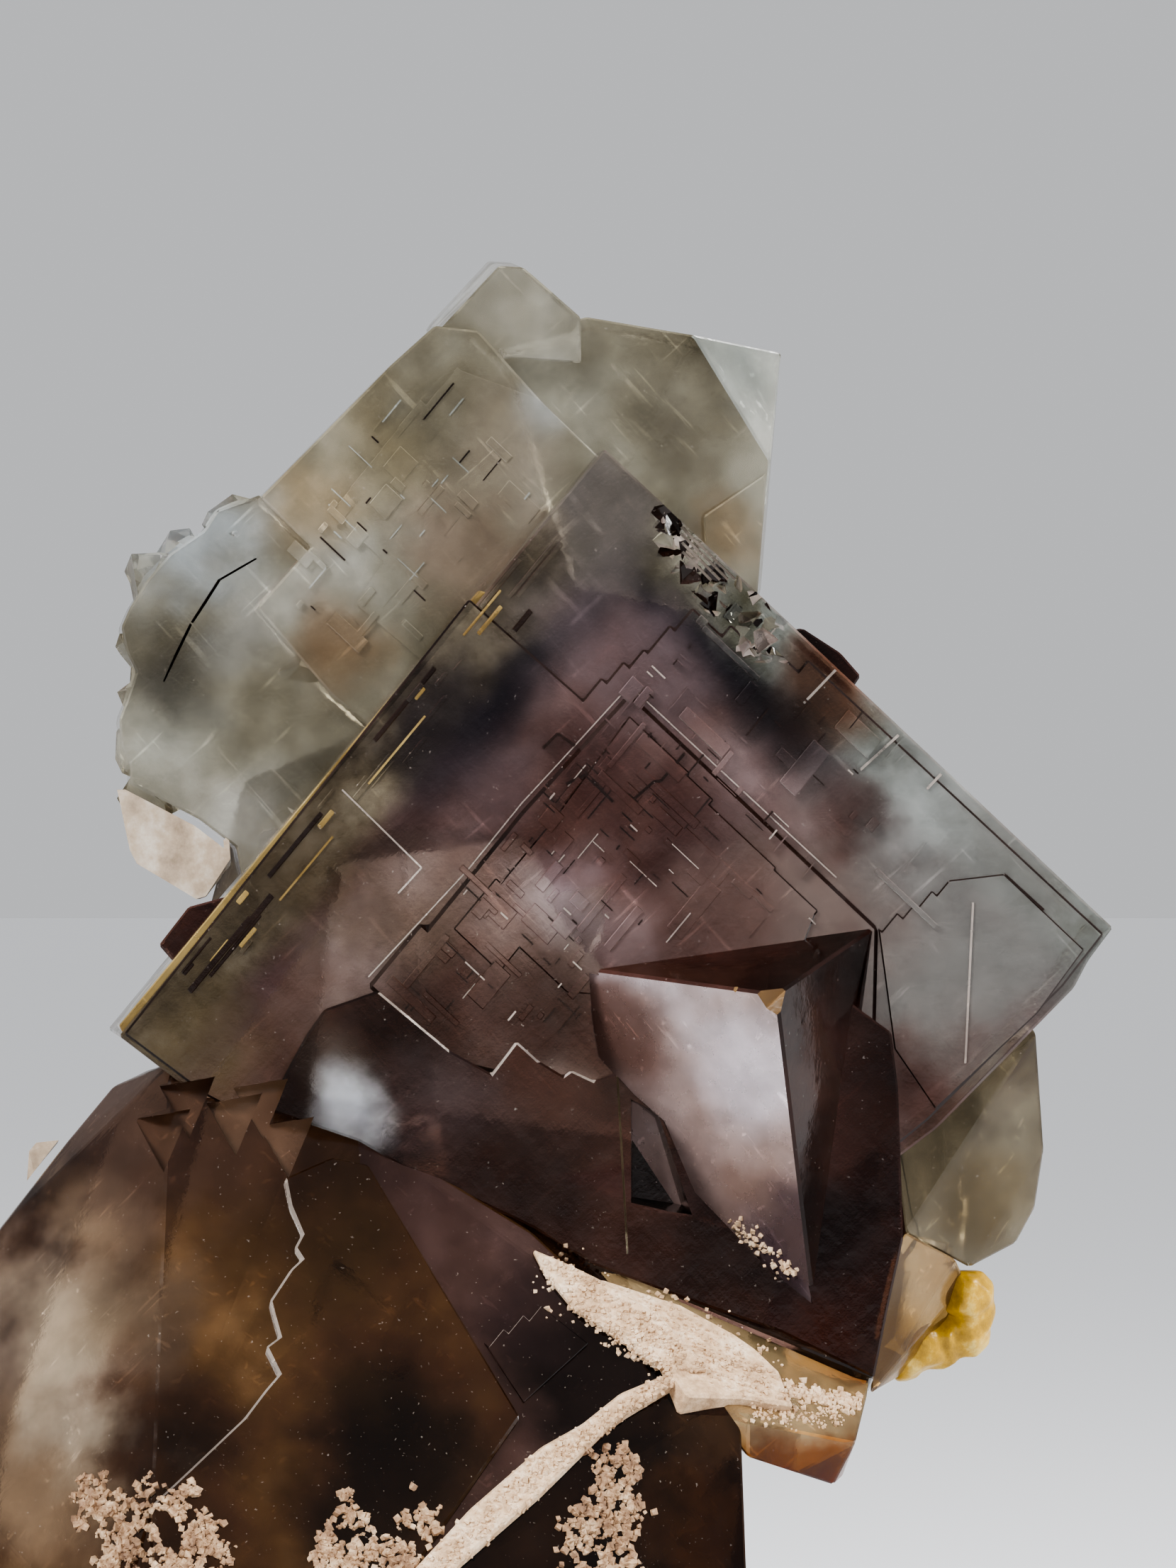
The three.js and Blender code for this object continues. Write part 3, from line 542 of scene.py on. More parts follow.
def combine(base, pieces, operation):
    """The base joined with the pieces, or the pieces cut from it."""
    scene = bpy.context.scene.collection
    group = bpy.data.collections.new("pieces")
    scene.children.link(group)
    for piece in pieces:
        group.objects.link(piece)
    scene.objects.link(base)
    modifier = base.modifiers.new("combine", "BOOLEAN")
    modifier.operand_type = "COLLECTION"
    modifier.collection = group
    modifier.operation = operation
    modifier.solver = "MANIFOLD"
    result = bpy.data.objects.new("solid", evaluated_mesh(base))
    for piece in [base, *pieces]:
        bpy.data.objects.remove(piece)
    bpy.data.collections.remove(group)
    return result


def stairs(start, end, count, seed):
    """Points of a staircase between two places, its treads along the big cube's edges."""
    draw = Random(seed)
    start, end = Vector(start), Vector(end)
    way = end - start
    det = ALONG_RIGHT.x * ALONG_LEFT.y - ALONG_RIGHT.y * ALONG_LEFT.x
    right = (way.x * ALONG_LEFT.y - way.y * ALONG_LEFT.x) / det
    left = (ALONG_RIGHT.x * way.y - ALONG_RIGHT.y * way.x) / det
    points = []
    done_left = 0
    for i in range(1, count + 1):
        wobble = (draw.random() - 0.5) * 0.5 if i < count else 0
        next_right = right * (i + wobble) / count
        next_left = left * (i - wobble) / count
        points.append(start + ALONG_RIGHT * next_right + ALONG_LEFT * done_left)
        points.append(start + ALONG_RIGHT * next_right + ALONG_LEFT * next_left)
        done_left = next_left
    return points


def lump(place, radius, seed, paint, squash, corners=20):
    """A rough faceted lump: random points on a ball, squashed along the line of sight."""
    draw = Random(seed)
    centre = corner(place)
    points = []
    for _ in range(corners):
        turn = 2 * math.pi * draw.random()
        height = 2 * draw.random() - 1
        ring = math.sqrt(1 - height * height)
        reach = radius * (0.9 + 0.2 * draw.random())
        offset = Vector((ring * math.cos(turn), squash * ring * math.sin(turn), height))
        points.append(centre + offset * reach)
    return hull(points, paint)


# The big cube

def on_big_face(along_right, along_left):
    """A place on the big face, so far along each of its two upper edges."""
    return BIG_TOP + ALONG_RIGHT * along_right + ALONG_LEFT * along_left


def patch(place, right, left):
    """The corners of a square-sided patch on the big face, with its middle at a place."""
    signs = [(-1, -1), (1, -1), (1, 1), (-1, 1)]
    return [place + ALONG_RIGHT * (a * right / 2) + ALONG_LEFT * (b * left / 2) for a, b in signs]


BIG_FACE = Face(corner((*BIG_TOP, 0)), 0.05, 0)
BIG_DEPTH = 26
TERRACE = 0.3  # the height of one growth step
MARK_COUNT = 330
STRIP_COUNT = 30
PIT_COUNT = 110


def big_cube():
    outline = [
        BIG_TOP, BIG_RIGHT, (1536, 1356), (1516, 1394), (1464, 1447), (1417, 1496), (1322, 1592),
        (1100, 1760), (700, 1650), (508, 1600), (304, 1568), (289, 1553), BIG_LEFT,
    ]
    return plate(outline, BIG_FACE, BIG_DEPTH, "zoned", 0.12)


def big_terraces():
    first = [
        (662, 845), (816, 981), *stairs((816, 981), (977, 857), 5, 11),
        *stairs((977, 857), (1140, 930), 3, 12),
        (1558, 1318), (1500, 1392), (1310, 1580), (1100, 1750), (700, 1645), (508, 1598), (320, 1560),
        (292, 1545), (176, 1458),
    ]
    second = [
        (888, 977), (1098, 1176), (1239, 1309), (1235, 1480), (900, 1560), (640, 1500), (519, 1391),
        (594, 1300), (603, 1308), (737, 1143),
    ]
    third = [
        (888, 1010), *stairs((888, 1010), (1150, 1290), 4, 15), (1100, 1420), (800, 1400),
        (733, 1337), (705, 1372), (640, 1310), (700, 1238), (707, 1245), (780, 1157),
    ]
    right = [
        (1239, 1309), *stairs((1239, 1309), (1339, 1242), 4, 18), (1417, 1233), (1530, 1340),
        (1464, 1430), (1320, 1565), (1262, 1480),
    ]
    levels = [(first, 1, 0.11), (second, 2, 0.2), (third, 2.8, 0.11), (right, 1.7, 0.11)]
    # The terraces' side walls are painted dark as shade.
    return [
        plate(outline, BIG_FACE.lifted(TERRACE * level), TERRACE * level + 1, "zoned", bevel, "step_shade")
        for outline, level, bevel in levels
    ]


def line(start, end, width, level, paint):
    """A thin raised line on the big face, its top at a terrace level."""
    start, end = Vector(start), Vector(end)
    aside = (end - start).orthogonal().normalized() * (width / 2)
    outline = [start + aside, end + aside, end - aside, start - aside]
    face = BIG_FACE.lifted(TERRACE * level)
    return plate(outline, face, TERRACE * level + 0.6, paint, 0)


def drawn_lines():
    """The longer lines and little stairs that stand out on the big face, painted as highlights, as shade or
    as lit gold.
    """
    paths = [
        ([(1373, 1273), (1362, 1500)], 3, 2.1, "glint"),
        ([(483, 1114), (595, 1224), (562, 1260)], 2.4, 1.5, "glint"),
        ([(1268, 1037), (1214, 1086)], 3.5, 1.5, "glint"),
        ([(1328, 1092), (1308, 1113)], 3.5, 1.5, "glint"),
        ([(1179, 945), (1134, 992)], 3.5, 1.6, "glint"),
        ([(766, 1056), (787, 1035), (811, 1052)], 4, 2.9, "step_shade"),
        ([(799, 1106), (826, 1093), (865, 1131)], 4, 3.1, "step_shade"),
        ([(890, 1131), (923, 1102), (932, 1102), (965, 1064)], 4, 3.1, "step_shade"),
        ([(882, 974), (888, 967), (1100, 1164), (1180, 1238)], 1.8, 2.25, "glint"),
        ([(882, 974), (810, 1053), (737, 1132), (661, 1226), (520, 1378)], 1.8, 1.3, "glint"),
        ([(1417, 1233), (1473, 1284)], 3.5, 1.9, "step_shade"),
        ([(600, 1010), (520, 1106)], 3, 1.4, "lit_gold"),
        ([(470, 1180), (395, 1270)], 3, 1.4, "lit_gold"),
    ]
    return [
        line(start, end, width, level, paint)
        for path, width, level, paint in paths
        for start, end in zip(path, path[1:])
    ]


def mark_size(draw, is_line, length, line_width, plate_width):
    """The two sides of a small mark, which is a thin line or a wider plate."""
    long = 8 + length * draw.random() ** 2
    wide = 1.3 + line_width * draw.random() if is_line else 8 + plate_width * draw.random() ** 2
    return (long, wide) if draw.random() < 0.5 else (wide, long)


def growth_plates():
    """Small growth plates and thin raised lines, along the big cube's edges."""
    draw = Random(5)
    plates = []
    for i in range(MARK_COUNT):
        right, left = abs(draw.gauss(0, 0.75)) - 0.3, draw.gauss(0, 0.55)
        place = on_big_face(330 + 300 * right, 400 + 420 * left)
        if not within_big_face(place):
            continue
        is_line = i % 4 > 0
        size = mark_size(draw, is_line, 50 if is_line else 110, 1.1, 26)
        height = TERRACE * (2.95 + 0.35 * draw.random())
        face = BIG_FACE.lifted(height)
        # Some lines are painted as highlights, some as shade, the rest in the face's own colour.
        tone = draw.choice(["glint", "step_shade", "step_shade", "zoned", "zoned"])
        paint, bevel = (tone, 0) if is_line else ("zoned", 0.04)
        plates.append(plate(patch(place, *size), face, height + 0.6, paint, bevel))
    return plates


def within_big_face(place):
    """Whether a place is well inside the big face and clear of the twin."""
    along_right = (place - BIG_TOP).dot(ALONG_RIGHT)
    along_left = (place - BIG_TOP).dot(ALONG_LEFT)
    clear_of_twin = place.x < 830 or place.y < 1310
    return 40 < along_right < 900 and 50 < along_left < 950 and place.y < 1440 and clear_of_twin


def left_strips():
    """Long thin plates stacked along the big cube's upper left edge."""
    draw = Random(8)
    strips = []
    for _ in range(STRIP_COUNT):
        place = on_big_face(8 + 60 * draw.random() ** 1.5, 120 + 850 * draw.random())
        face = BIG_FACE.lifted(TERRACE * (1.1 + 0.5 * draw.random()))
        outline = patch(place, 3 + 6 * draw.random(), 20 + 120 * draw.random() ** 2)
        # Strips are painted lit gold, as shade, or in the big cube's own colour.
        strips.append(plate(outline, face, 1.2, draw.choice(["lit_gold", "step_shade", "zoned", "zoned"]), 0.04))
    return strips


def side_plates():
    """Plates on the big cube's upper left side, their front edges golden, brightened as painted light on the
    lit side.
    """
    steps = [(260, 1070, 1.2, 10), (420, 1060, 3.2, 9), (640, 1072, 6, 8)]
    pieces = []
    for start, end, depth, out in steps:
        outline = [
            on_big_face(4, start), on_big_face(4, end), on_big_face(-out, end - 6),
            on_big_face(-out, start + 8),
        ]
        pieces.append(plate(outline, BIG_FACE.lifted(-depth), 1.2, "lit_gold"))
        pieces.append(plate(outline, BIG_FACE.lifted(-depth - 1.15), 7.85, "pale"))
    return pieces


def pitted_patch():
    """The chipped upper right edge of the big cube: rough pits and a few parallel slits."""
    draw = Random(19)
    pits = []
    for i in range(PIT_COUNT):
        along = draw.random()
        inward = 2 + 92 * draw.random() * (0.3 + along * (1.3 - along))
        place = on_big_face(115 + 265 * along, inward)
        depth = 0.3 - 0.5 * draw.random()
        # Some pits are painted dark as shade and some pale as glints.
        paint = draw.choice(["zoned", "zoned", "rear", "smoky_and_shade", "step_shade", "glint"])
        pits.append(lump((*place, depth), 0.35 + 0.55 * draw.random(), 231 + i, paint, 0.8, 9))
    # The slits are painted as glints.
    for inward in (5, 12, 20, 29):
        start, end = on_big_face(150 + inward, inward), on_big_face(265 - inward, inward + 2)
        pits.append(line(start, end, 4, 3, "glint"))
    return pits


LOWER_FACE = Face(corner((853, 1600, -1.5)), 0.05, 0.01)


def lower_slab():
    outline = [
        (459, 1423), (434, 1458), (413, 1496), (389, 1542), (385, 1567), (508, 1609), (567, 1644),
        (680, 1696), (753, 1731), (841, 1784), (960, 1829), (1099, 1877), (1233, 1943), (1252, 1848),
        (1274, 1747), (1267, 1537), (1257, 1456), (1180, 1400), (838, 1524), (806, 1509), (795, 1517),
        (760, 1496), (729, 1468), (694, 1514), (636, 1482), (534, 1397),
    ]
    underside = [
        (940, 1822, -1.3), (1233, 1943, -0.6), (1226, 1967, 3), (1104, 1948, 3), (1050, 1885, 2),
        (1000, 1800, 0), (1240, 1900, 0), (1000, 1800, 14), (1226, 1960, 14), (1240, 1900, 14),
    ]
    slab = plate(outline, LOWER_FACE, 24, "dark", 0.12)
    # The slab's sides inside these windows are painted as highlights, and the block under it is painted dark
    # as shade.
    bright = [(690, 1460, 770, 1520), (800, 1505, 842, 1535), (535, 1390, 590, 1445)]
    repaint_sides(slab, LOWER_FACE, "glint", bright)
    return [slab, block(underside, "step_shade")]


# The twin cube

def direction(angle, slant):
    """A direction from its angle on the front view and its slant away from the viewer."""
    turn, away = math.radians(angle), math.radians(slant)
    return Vector((math.cos(away) * math.cos(turn), math.sin(away), math.cos(away) * math.sin(turn)))


TWIN_CORNER = corner((1094, 1400, -7))
TWIN_DOWN = direction(-83, 20.8)
TWIN_LEFT = direction(172.7, 33)
TWIN_BACK = TWIN_DOWN.cross(TWIN_LEFT).normalized()
TWIN_SIZE = (18.5, 16, 9.6)


def twin_point(down, left, back):
    return TWIN_CORNER + TWIN_DOWN * down + TWIN_LEFT * left + TWIN_BACK * back


def twin_cube():
    """The twin's cube: its face towards the lower left is frosted and pale with painted glare, the others
    are dark.
    """
    down, left, back = TWIN_SIZE
    points = [twin_point(a, b, c) for a in (0, down) for b in (0, left) for c in (0, back)]
    cube = hull(points, "dark", 0.15)
    repaint(cube, "frost_and_glare", lambda face: face.normal.dot(TWIN_BACK) < -0.9)
    return cube


def twin_chip():
    """Two small breaks at the twin's corner, in millimetres down, left and back from it."""
    chips = [
        [(-0.5, -0.5, -0.5), (2.2, -0.5, -0.5), (-0.5, 2.4, -0.5), (-0.5, -0.5, 1.4), (1.4, 1.2, -0.5)],
        [(-0.5, 1.6, -0.5), (-0.5, 4.2, -0.5), (0.7, 2.6, -0.5), (-0.5, 2.6, 0.8)],
    ]
    return [hull([twin_point(*place) for place in chip], "tan") for chip in chips]


def twin_hollow():
    """The seat that bares the twin's frosted face, the hollow painted black as shade, and the narrow slot by
    it.
    """
    seat = [
        (836, 1372), (841, 1436), (850, 1489), (898, 1542), (941, 1580), (984, 1680), (1085, 1786),
        (1150, 1838), (1120, 1700), (1000, 1480), (900, 1380),
    ]
    return [
        plate(seat, LOWER_FACE.lifted(3), 6, "dark", 0),
        # The hollow's walls are painted near-black as shade.
        block([
            (889, 1546, -4), (937, 1570, -4), (989, 1723, -4), (889, 1700, -4), (892, 1556, 2),
            (920, 1580, 2), (960, 1700, 2), (892, 1690, 2),
        ], "smoky_and_shade", 0),
        block([
            (862, 1456, -4), (874, 1456, -4), (890, 1776, -4), (880, 1776, -4), (868, 1470, -0.6),
            (885, 1765, -0.6),
        ], "pale", 0),
    ]


# The crystals behind

REAR_TOP = Vector((612, 456))
REAR_LEFT_FACE = Face(corner((*REAR_TOP, 5)), 0.04, 0)
KNOB_COUNT = 26
REAR_MARK_COUNT = 64


def rear_left_cube():
    whole = [
        (612, 456), (674, 463), (768, 568), (836, 633), (960, 760), (700, 1180), (466, 980), (360, 856),
        (437, 770), (365, 700), (550, 512),
    ]
    broken = [
        (450, 760), (365, 695), (303, 717), (284, 746), (236, 779), (203, 817), (179, 856), (167, 884),
        (174, 918), (188, 947), (179, 975), (164, 1014), (167, 1052), (179, 1076), (180, 1105),
        (279, 1157), (330, 1196), (340, 1250), (700, 1190), (480, 960),
    ]
    terrace = [
        (650, 520), *stairs((650, 520), (560, 600), 2, 21), *stairs((560, 600), (466, 720), 3, 22),
        (540, 790), (500, 850), (640, 970), (900, 700), (760, 560),
    ]
    return [
        plate(whole, REAR_LEFT_FACE, 17, "rear", 0.12),
        plate(broken, REAR_LEFT_FACE.lifted(-1.4), 13, "rear", 0.12),
        plate(terrace, REAR_LEFT_FACE.lifted(0.25), 1.25, "rear", 0.1),
    ]


def rear_left_knobs():
    places = [
        (255, 790, 7.6, 1.7), (215, 845, 8.4, 1.9), (205, 905, 9, 1.7), (215, 985, 8.6, 2),
        (205, 1060, 8.8, 1.9), (330, 745, 7.2, 1.8), (290, 1090, 7.8, 2.1), (420, 940, 6.9, 1.6),
    ]
    knobs = [lump(place, radius, 31 + i, "rear", 0.75) for i, (*place, radius) in enumerate(places)]
    draw = Random(77)
    for i in range(KNOB_COUNT):
        place = (215 + 190 * draw.random(), 770 + 370 * draw.random(), 7.8 + 1.2 * draw.random())
        # Some knobs are painted pale as glints.
        paint = draw.choice(["rear", "upper", "ice_highlight", "pale"])
        knobs.append(lump(place, 1.5 + 1.3 * draw.random(), 131 + i, paint, 0.8, 9))
    return knobs


def rear_left_crack():
    cuts = [
        [(361, 780), (364, 785), (308, 818), (304, 812), (356, 788), (308, 816)],
        [(304, 811), (311, 818), (270, 880), (262, 876), (306, 816), (268, 876)],
        [(262, 874), (269, 880), (228, 966), (224, 962), (266, 880), (228, 958)],
    ]
    depths = (3, 3, 3, 3, 8, 8)
    # The crack's walls are painted dark as shade.
    return [
        block([(*place, depth) for place, depth in zip(cut, depths)], "step_shade", 0) for cut in cuts
    ]


def rear_marks():
    """Small steps and scratches on the rear cube's face."""
    draw = Random(29)
    marks = []
    for i in range(REAR_MARK_COUNT):
        place = REAR_TOP + ALONG_RIGHT * (25 + 235 * draw.random())
        place += ALONG_LEFT * (60 + 360 * draw.random())
        is_line = i % 3 > 0
        size = mark_size(draw, is_line, 60, 1.3, 30)
        face = REAR_LEFT_FACE.lifted(0.28 + 0.1 * draw.random())
        # Lines are painted as highlights, as shade, or in the rear cube's colour.
        paint = draw.choice(["ice_highlight", "step_shade", "rear"]) if is_line else "rear"
        marks.append(plate(patch(place, *size), face, 0.9, paint, 0 if is_line else 0.04))
    return marks


def top_crystal():
    outline = [
        (612, 470), (620, 458), (703, 369), (737, 371), (753, 384), (819, 442), (820, 507), (715, 500),
        (674, 520),
    ]
    return plate(outline, Face(corner((703, 369, 7.5)), 0.05, -0.05), 13, "rear", 0.1)


def upper_right_crystal():
    """The tall pale crystal behind on the right, its cut corner painted pale as a highlight where it catches
    the light.
    """
    tall = block([
            (690, 470, 10), (828, 440, 10), (981, 466, 10), (1090, 645, 10.5), (1062, 880, 11),
            (800, 820, 10), (1106, 488, 15), (1093, 658, 15.5), (1077, 828, 15), (700, 480, 27),
            (838, 448, 27), (1098, 496, 26), (1066, 880, 26), (800, 820, 27),
        ], "upper")
    repaint(tall, "ice_highlight", lambda face: face.normal.x > 0.3 and face.normal.y < -0.3)
    repaint(tall, "broken", lambda face: face.normal.x < -0.5)
    return [
        tall,
        block([
            (994, 724, 9.6), (1085, 662, 10.2), (1070, 850, 10.6), (1000, 860, 9.8), (994, 724, 14),
            (1085, 662, 14), (1070, 850, 14), (1000, 860, 14),
        ], "upper"),
    ]


def red_crystals():
    on_the_right = [
        (1135, 884, 9), (1189, 919, 9), (1218, 952, 9), (1180, 1010, 9), (1040, 900, 9), (1130, 894, 19),
        (1180, 925, 19), (1208, 960, 19), (1180, 1010, 19), (1040, 900, 19),
    ]
    on_the_left = [
        (222, 1334, 3), (264, 1280, 3), (330, 1262, 3), (360, 1400, 3), (262, 1380, 3), (226, 1340, 13),
        (268, 1286, 13), (335, 1270, 13), (360, 1400, 13), (262, 1385, 13),
    ]
    return [block(on_the_right, "dark"), block(on_the_left, "dark")]


# The lower crystals

RIGHT_PALE = [
    (1290, 1500, 4), (1450, 1440, 6), (1465, 1460, 6), (1477, 1626, 7), (1465, 1709, 8), (1438, 1759, 8),
    (1371, 1792, 6), (1279, 1741, 3), (1262, 1600, 3), (1300, 1500, 18), (1460, 1470, 18),
    (1470, 1620, 18), (1460, 1700, 18), (1430, 1750, 17), (1300, 1770, 17),
]
RIGHT_TAN = [
    (1279, 1741, 2.6), (1350, 1780, 4.6), (1366, 1815, 6), (1350, 1870, 7.6), (1293, 1918, 7),
    (1268, 1950, 6), (1230, 1969, 3.6), (1240, 1800, 1.6), (1290, 1740, 15), (1350, 1800, 15),
    (1290, 1900, 15), (1228, 1950, 15),
]
BLOCK_FACE_CORNERS = [(846, 1792, -1.6), (955, 1926, -5.2), (1223, 1967, -0.5)]
LOWER_BLOCK = [
    *BLOCK_FACE_CORNERS, (960, 1810, 0.4), (1104, 1880, 0.6), (1226, 1940, 0.8),
    (1054, 2000, -5.6), (1205, 2032, -3.4), (1054, 2050, -4.8), (1124, 2074, -3.6), (1175, 2092, -2),
    (1188, 2081, -1), (1223, 1967, 14), (1170, 2080, 14), (1054, 2066, 14), (900, 1900, 14),
]
BROWN_FACE_CORNERS = [(520, 1620, -1.6), (745, 1983, -7.8), (577, 2212, -13.6)]
MAUVE_FACE_CORNERS = [(525, 1630, -1.6), (955, 1926, -5.2), (764, 2033, -8.5)]
BROWN_LEFT = [
    (207, 1511, 3), (158, 1534, 3), (94, 1611, 2.5), (33, 1695, 2), (0, 1733, 1.6),
    (-70, 1840, 1), (-150, 2000, 0), (-205, 2200, -1), (-232, 2400, -2), (-241, FLOOR_DOWN, -2),
    (240, 1500, -0.2), (330, 1540, -0.5), (420, 1556, -0.8), (500, 1590, -1.2), (428, 1756, -4.4),
    (350, 1989, -9.7), (224, 2106, -12.9), (151, 1960, -8), (112, 1824, -4), (150, 2300, -14.5),
    (170, FLOOR_DOWN, -15), (220, 1520, 16), (-60, 1800, 18), (-200, 2100, 20),
    (-235, FLOOR_DOWN, 20), (200, FLOOR_DOWN, 23), (300, 1560, 18),
]
BROWN_RIGHT = [
    (330, 1545, -0.4), (500, 1585, -1.3), (403, 1659, -3), *BROWN_FACE_CORNERS,
    *MAUVE_FACE_CORNERS, (750, 1737, -2.5), (500, 2290, -15), (224, 2120, -13.2),
    (180, 2280, -14.6), (160, FLOOR_DOWN, -15), (490, FLOOR_DOWN, -15.4), (300, 1600, 16),
    (560, 1580, 16), (960, 1880, 14), (160, FLOOR_DOWN, 20), (955, FLOOR_DOWN, 16),
]
LEDGE_HEIGHT = 0.5
LEDGE_FACE = face_through(BROWN_FACE_CORNERS).lifted(LEDGE_HEIGHT)
BLOCK_FACE = face_through(BLOCK_FACE_CORNERS)
MAUVE_FACE = face_through(MAUVE_FACE_CORNERS)


def brown_right():
    """The right part of the brown mass, its upper right face mauve."""
    piece = block(BROWN_RIGHT, "brown")
    normal = Vector((MAUVE_FACE.across, -1, MAUVE_FACE.up)).normalized()
    left_limit = corner((560, 0, 0)).x
    repaint(piece, "mauve", lambda face: face.normal.dot(normal) > 0.985 and face.center.x > left_limit)
    return piece


def brown_ledge():
    outline = [
        (403, 1659), (411, 1698), (428, 1737), (418, 1756), (428, 1771), (413, 1785), (384, 1829),
        (389, 1848), (398, 1878), (379, 1892), (398, 1929), (379, 1951), (350, 1989), (272, 2062),
        (224, 2106), (230, 2200), (300, 2330), (490, 2300), (577, 2212), (735, 1990), (520, 1640),
        (470, 1630),
    ]
    ledge = plate(outline, LEDGE_FACE, LEDGE_HEIGHT + 3, "brown", 0.14)
    # The ledge's left edge is painted as a highlight.
    repaint_sides(ledge, LEDGE_FACE, "glint", [(200, 1655, 440, 2110)])
    return ledge


def mauve_steps():
    side = [(684, 1888), *stairs((684, 1888), (764, 1838), 3, 41), (830, 1890), (740, 1970)]
    steps = plate(side, MAUVE_FACE.lifted(0.4), 1.4, "mauve", 0.1)
    # The steps' edges are painted as highlights.
    repaint_sides(steps, MAUVE_FACE, "glint", [(675, 1830, 770, 1892)])
    return steps


def teeth_notches():
    points = [
        (233, 1650, -1.4), (268, 1604, -1), (334, 1628, -1.3), (372, 1606, -1.5), (408, 1660, -2),
    ]
    return [
        block([
            (across, down + 4, depth - 4), (across - 40, down - 70, depth - 4),
            (across + 34, down - 84, depth - 4), (across - 42, down - 72, depth + 0.7),
            (across + 36, down - 86, depth + 1.2), (across, down, depth),
        ], "blush", 0)
        for across, down, depth in points
    ]


DARK_CORNERS = [
    (955, 1937, -5.3), (630, 2212, -13.5), (1051, 2212, -6.5), (883, 1983, -6.95), (764, 2090, -10),
    (520, 2330, -15.4), (490, FLOOR_DOWN, -15.4), (982, 1991, -5.6), (1036, 2083, -5.8),
    (1042, 1960, -4.9), (1056, FLOOR_DOWN, -7.5), (1046, 1960, 14), (1056, FLOOR_DOWN, 14),
    (700, 1960, 14), (490, FLOOR_DOWN, 16),
]
RIDGE_FACE_CORNERS = [(955, 1926, -5.3), (577, 2212, -13.8), (630, 2212, -13.6)]
RIDGE_FACE = face_through(RIDGE_FACE_CORNERS)
RIDGE = [
    *RIDGE_FACE_CORNERS, (764, 2033, -8.6), (883, 1983, -6.9), (764, 2090, -10),
    (500, 2290, -15.4), (545, 2300, -15.4), (955, 1940, 2), (700, 2060, 0), (560, 2260, -6),
]
BACK_MASS = [
    (330, 1100, 22), (620, 980, 25), (1000, 1040, 25), (1200, 1300, 24), (1180, 1600, 22),
    (1040, 1900, 20), (300, 1500, 25), (120, 1900, 26), (140, FLOOR_DOWN, 27),
    (820, FLOOR_DOWN, 25), (980, 2200, 20), (400, 1300, 14), (1100, 1300, 14), (900, 2400, 12),
    (200, FLOOR_DOWN, 12),
]
BACK_CUBE_CENTRE = (640, 1480, 22)
BACK_CUBE_EDGE = 17
BREAK_COUNT = 26


def back_cube():
    centre = corner(BACK_CUBE_CENTRE)
    ends = (-BACK_CUBE_EDGE / 2, BACK_CUBE_EDGE / 2)
    points = [
        centre + TWIN_BACK * a + TWIN_LEFT * b + TWIN_DOWN * c for a in ends for b in ends for c in ends
    ]
    return hull(points, "rear", 0.15)


def back_breaks():
    """Rough broken steps on the unseen back."""
    draw = Random(91)
    breaks = []
    for i in range(BREAK_COUNT):
        place = (300 + 650 * draw.random(), 1200 + 1150 * draw.random(), 22 + 2 * draw.random())
        breaks.append(lump(place, 2.5 + 2 * draw.random(), 331 + i, "broken", 0.9, 10))
    return breaks


# Putting the pieces together

def show(piece, nodes):
    """Scales a finished piece to metres and puts it in place of the nodes it stands for."""
    piece.data.transform(Matrix.Scale(MM, 4))
    link(piece)
    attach(piece, "root")
    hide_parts(*nodes)


def largest_skin(piece):
    """Keeps the largest closed skin of a piece: the crystals are solid all through."""
    shape = bmesh.new()
    shape.from_mesh(piece.data)
    left = set(shape.verts)
    skins = []
    while left:
        found = [left.pop()]
        skin = set(found)
        while found:
            near = {vertex for edge in found.pop().link_edges for vertex in edge.verts} & left
            left -= near
            skin |= near
            found += near
        skins.append(skin)
    largest = max(skins, key=len)
    loose = [vertex for skin in skins if skin is not largest for vertex in skin]
    bmesh.ops.delete(shape, geom=loose, context="VERTS")
    shape.to_mesh(piece.data)
    shape.free()


def fluorite():
    grown = [
        *big_terraces(), *drawn_lines(), *growth_plates(), *left_strips(), *side_plates(),
        *lower_slab(), *rear_left_cube(), *rear_left_knobs(), *rear_marks(), *back_breaks(),
        top_crystal(), *upper_right_crystal(), *red_crystals(),
        block(RIGHT_PALE, "pale"), block(RIGHT_TAN, "tan"), block(LOWER_BLOCK, "amber"),
        block(BROWN_LEFT, "brown"), brown_right(), brown_ledge(), mauve_steps(),
        block(DARK_CORNERS, "smoky_and_shade"), block(RIDGE, "brown"), block(BACK_MASS, "broken"), back_cube(),
    ]
    hollows = [*pitted_patch(), *twin_hollow(), *rear_left_crack(), *teeth_notches()]
    whole = combine(big_cube(), grown, "UNION")
    whole = combine(whole, hollows, "DIFFERENCE")
    whole = combine(whole, [twin_cube()], "UNION")
    whole = combine(whole, twin_chip(), "DIFFERENCE")
    largest_skin(whole)
    whole.name = "fluorite_crystals"
    return whole


# Crusts and lumps

RAY_START = -200  # in front of the whole specimen
LUMP_VOXEL = 0.16
LUMP_SMOOTHING = 8
SUGAR = mineral("sugar_crust", [(0.3, "6b5040"), (0.5, "a4866a"), (0.7, "dac4a8")], 0.7, 2, 0.6)
CRUST = mineral("cream_crust", [(0.3, "9d7f63"), (0.5, "cdb193"), (0.7, "efe0cb")], 0.75, 3, 0.6)
YELLOW = mineral("yellow_calcite", [(0.3, "8a6a1e"), (0.5, "c39a34"), (0.7, "e4cf86")], 0.3, 1.2, 0.3)
PALE = mineral(
    "pale_calcite", [(0.3, "94806b"), (0.5, "cfbca6"), (0.7, "f5eee4")], 0.25, 0.6, 0.3, 0.4
)


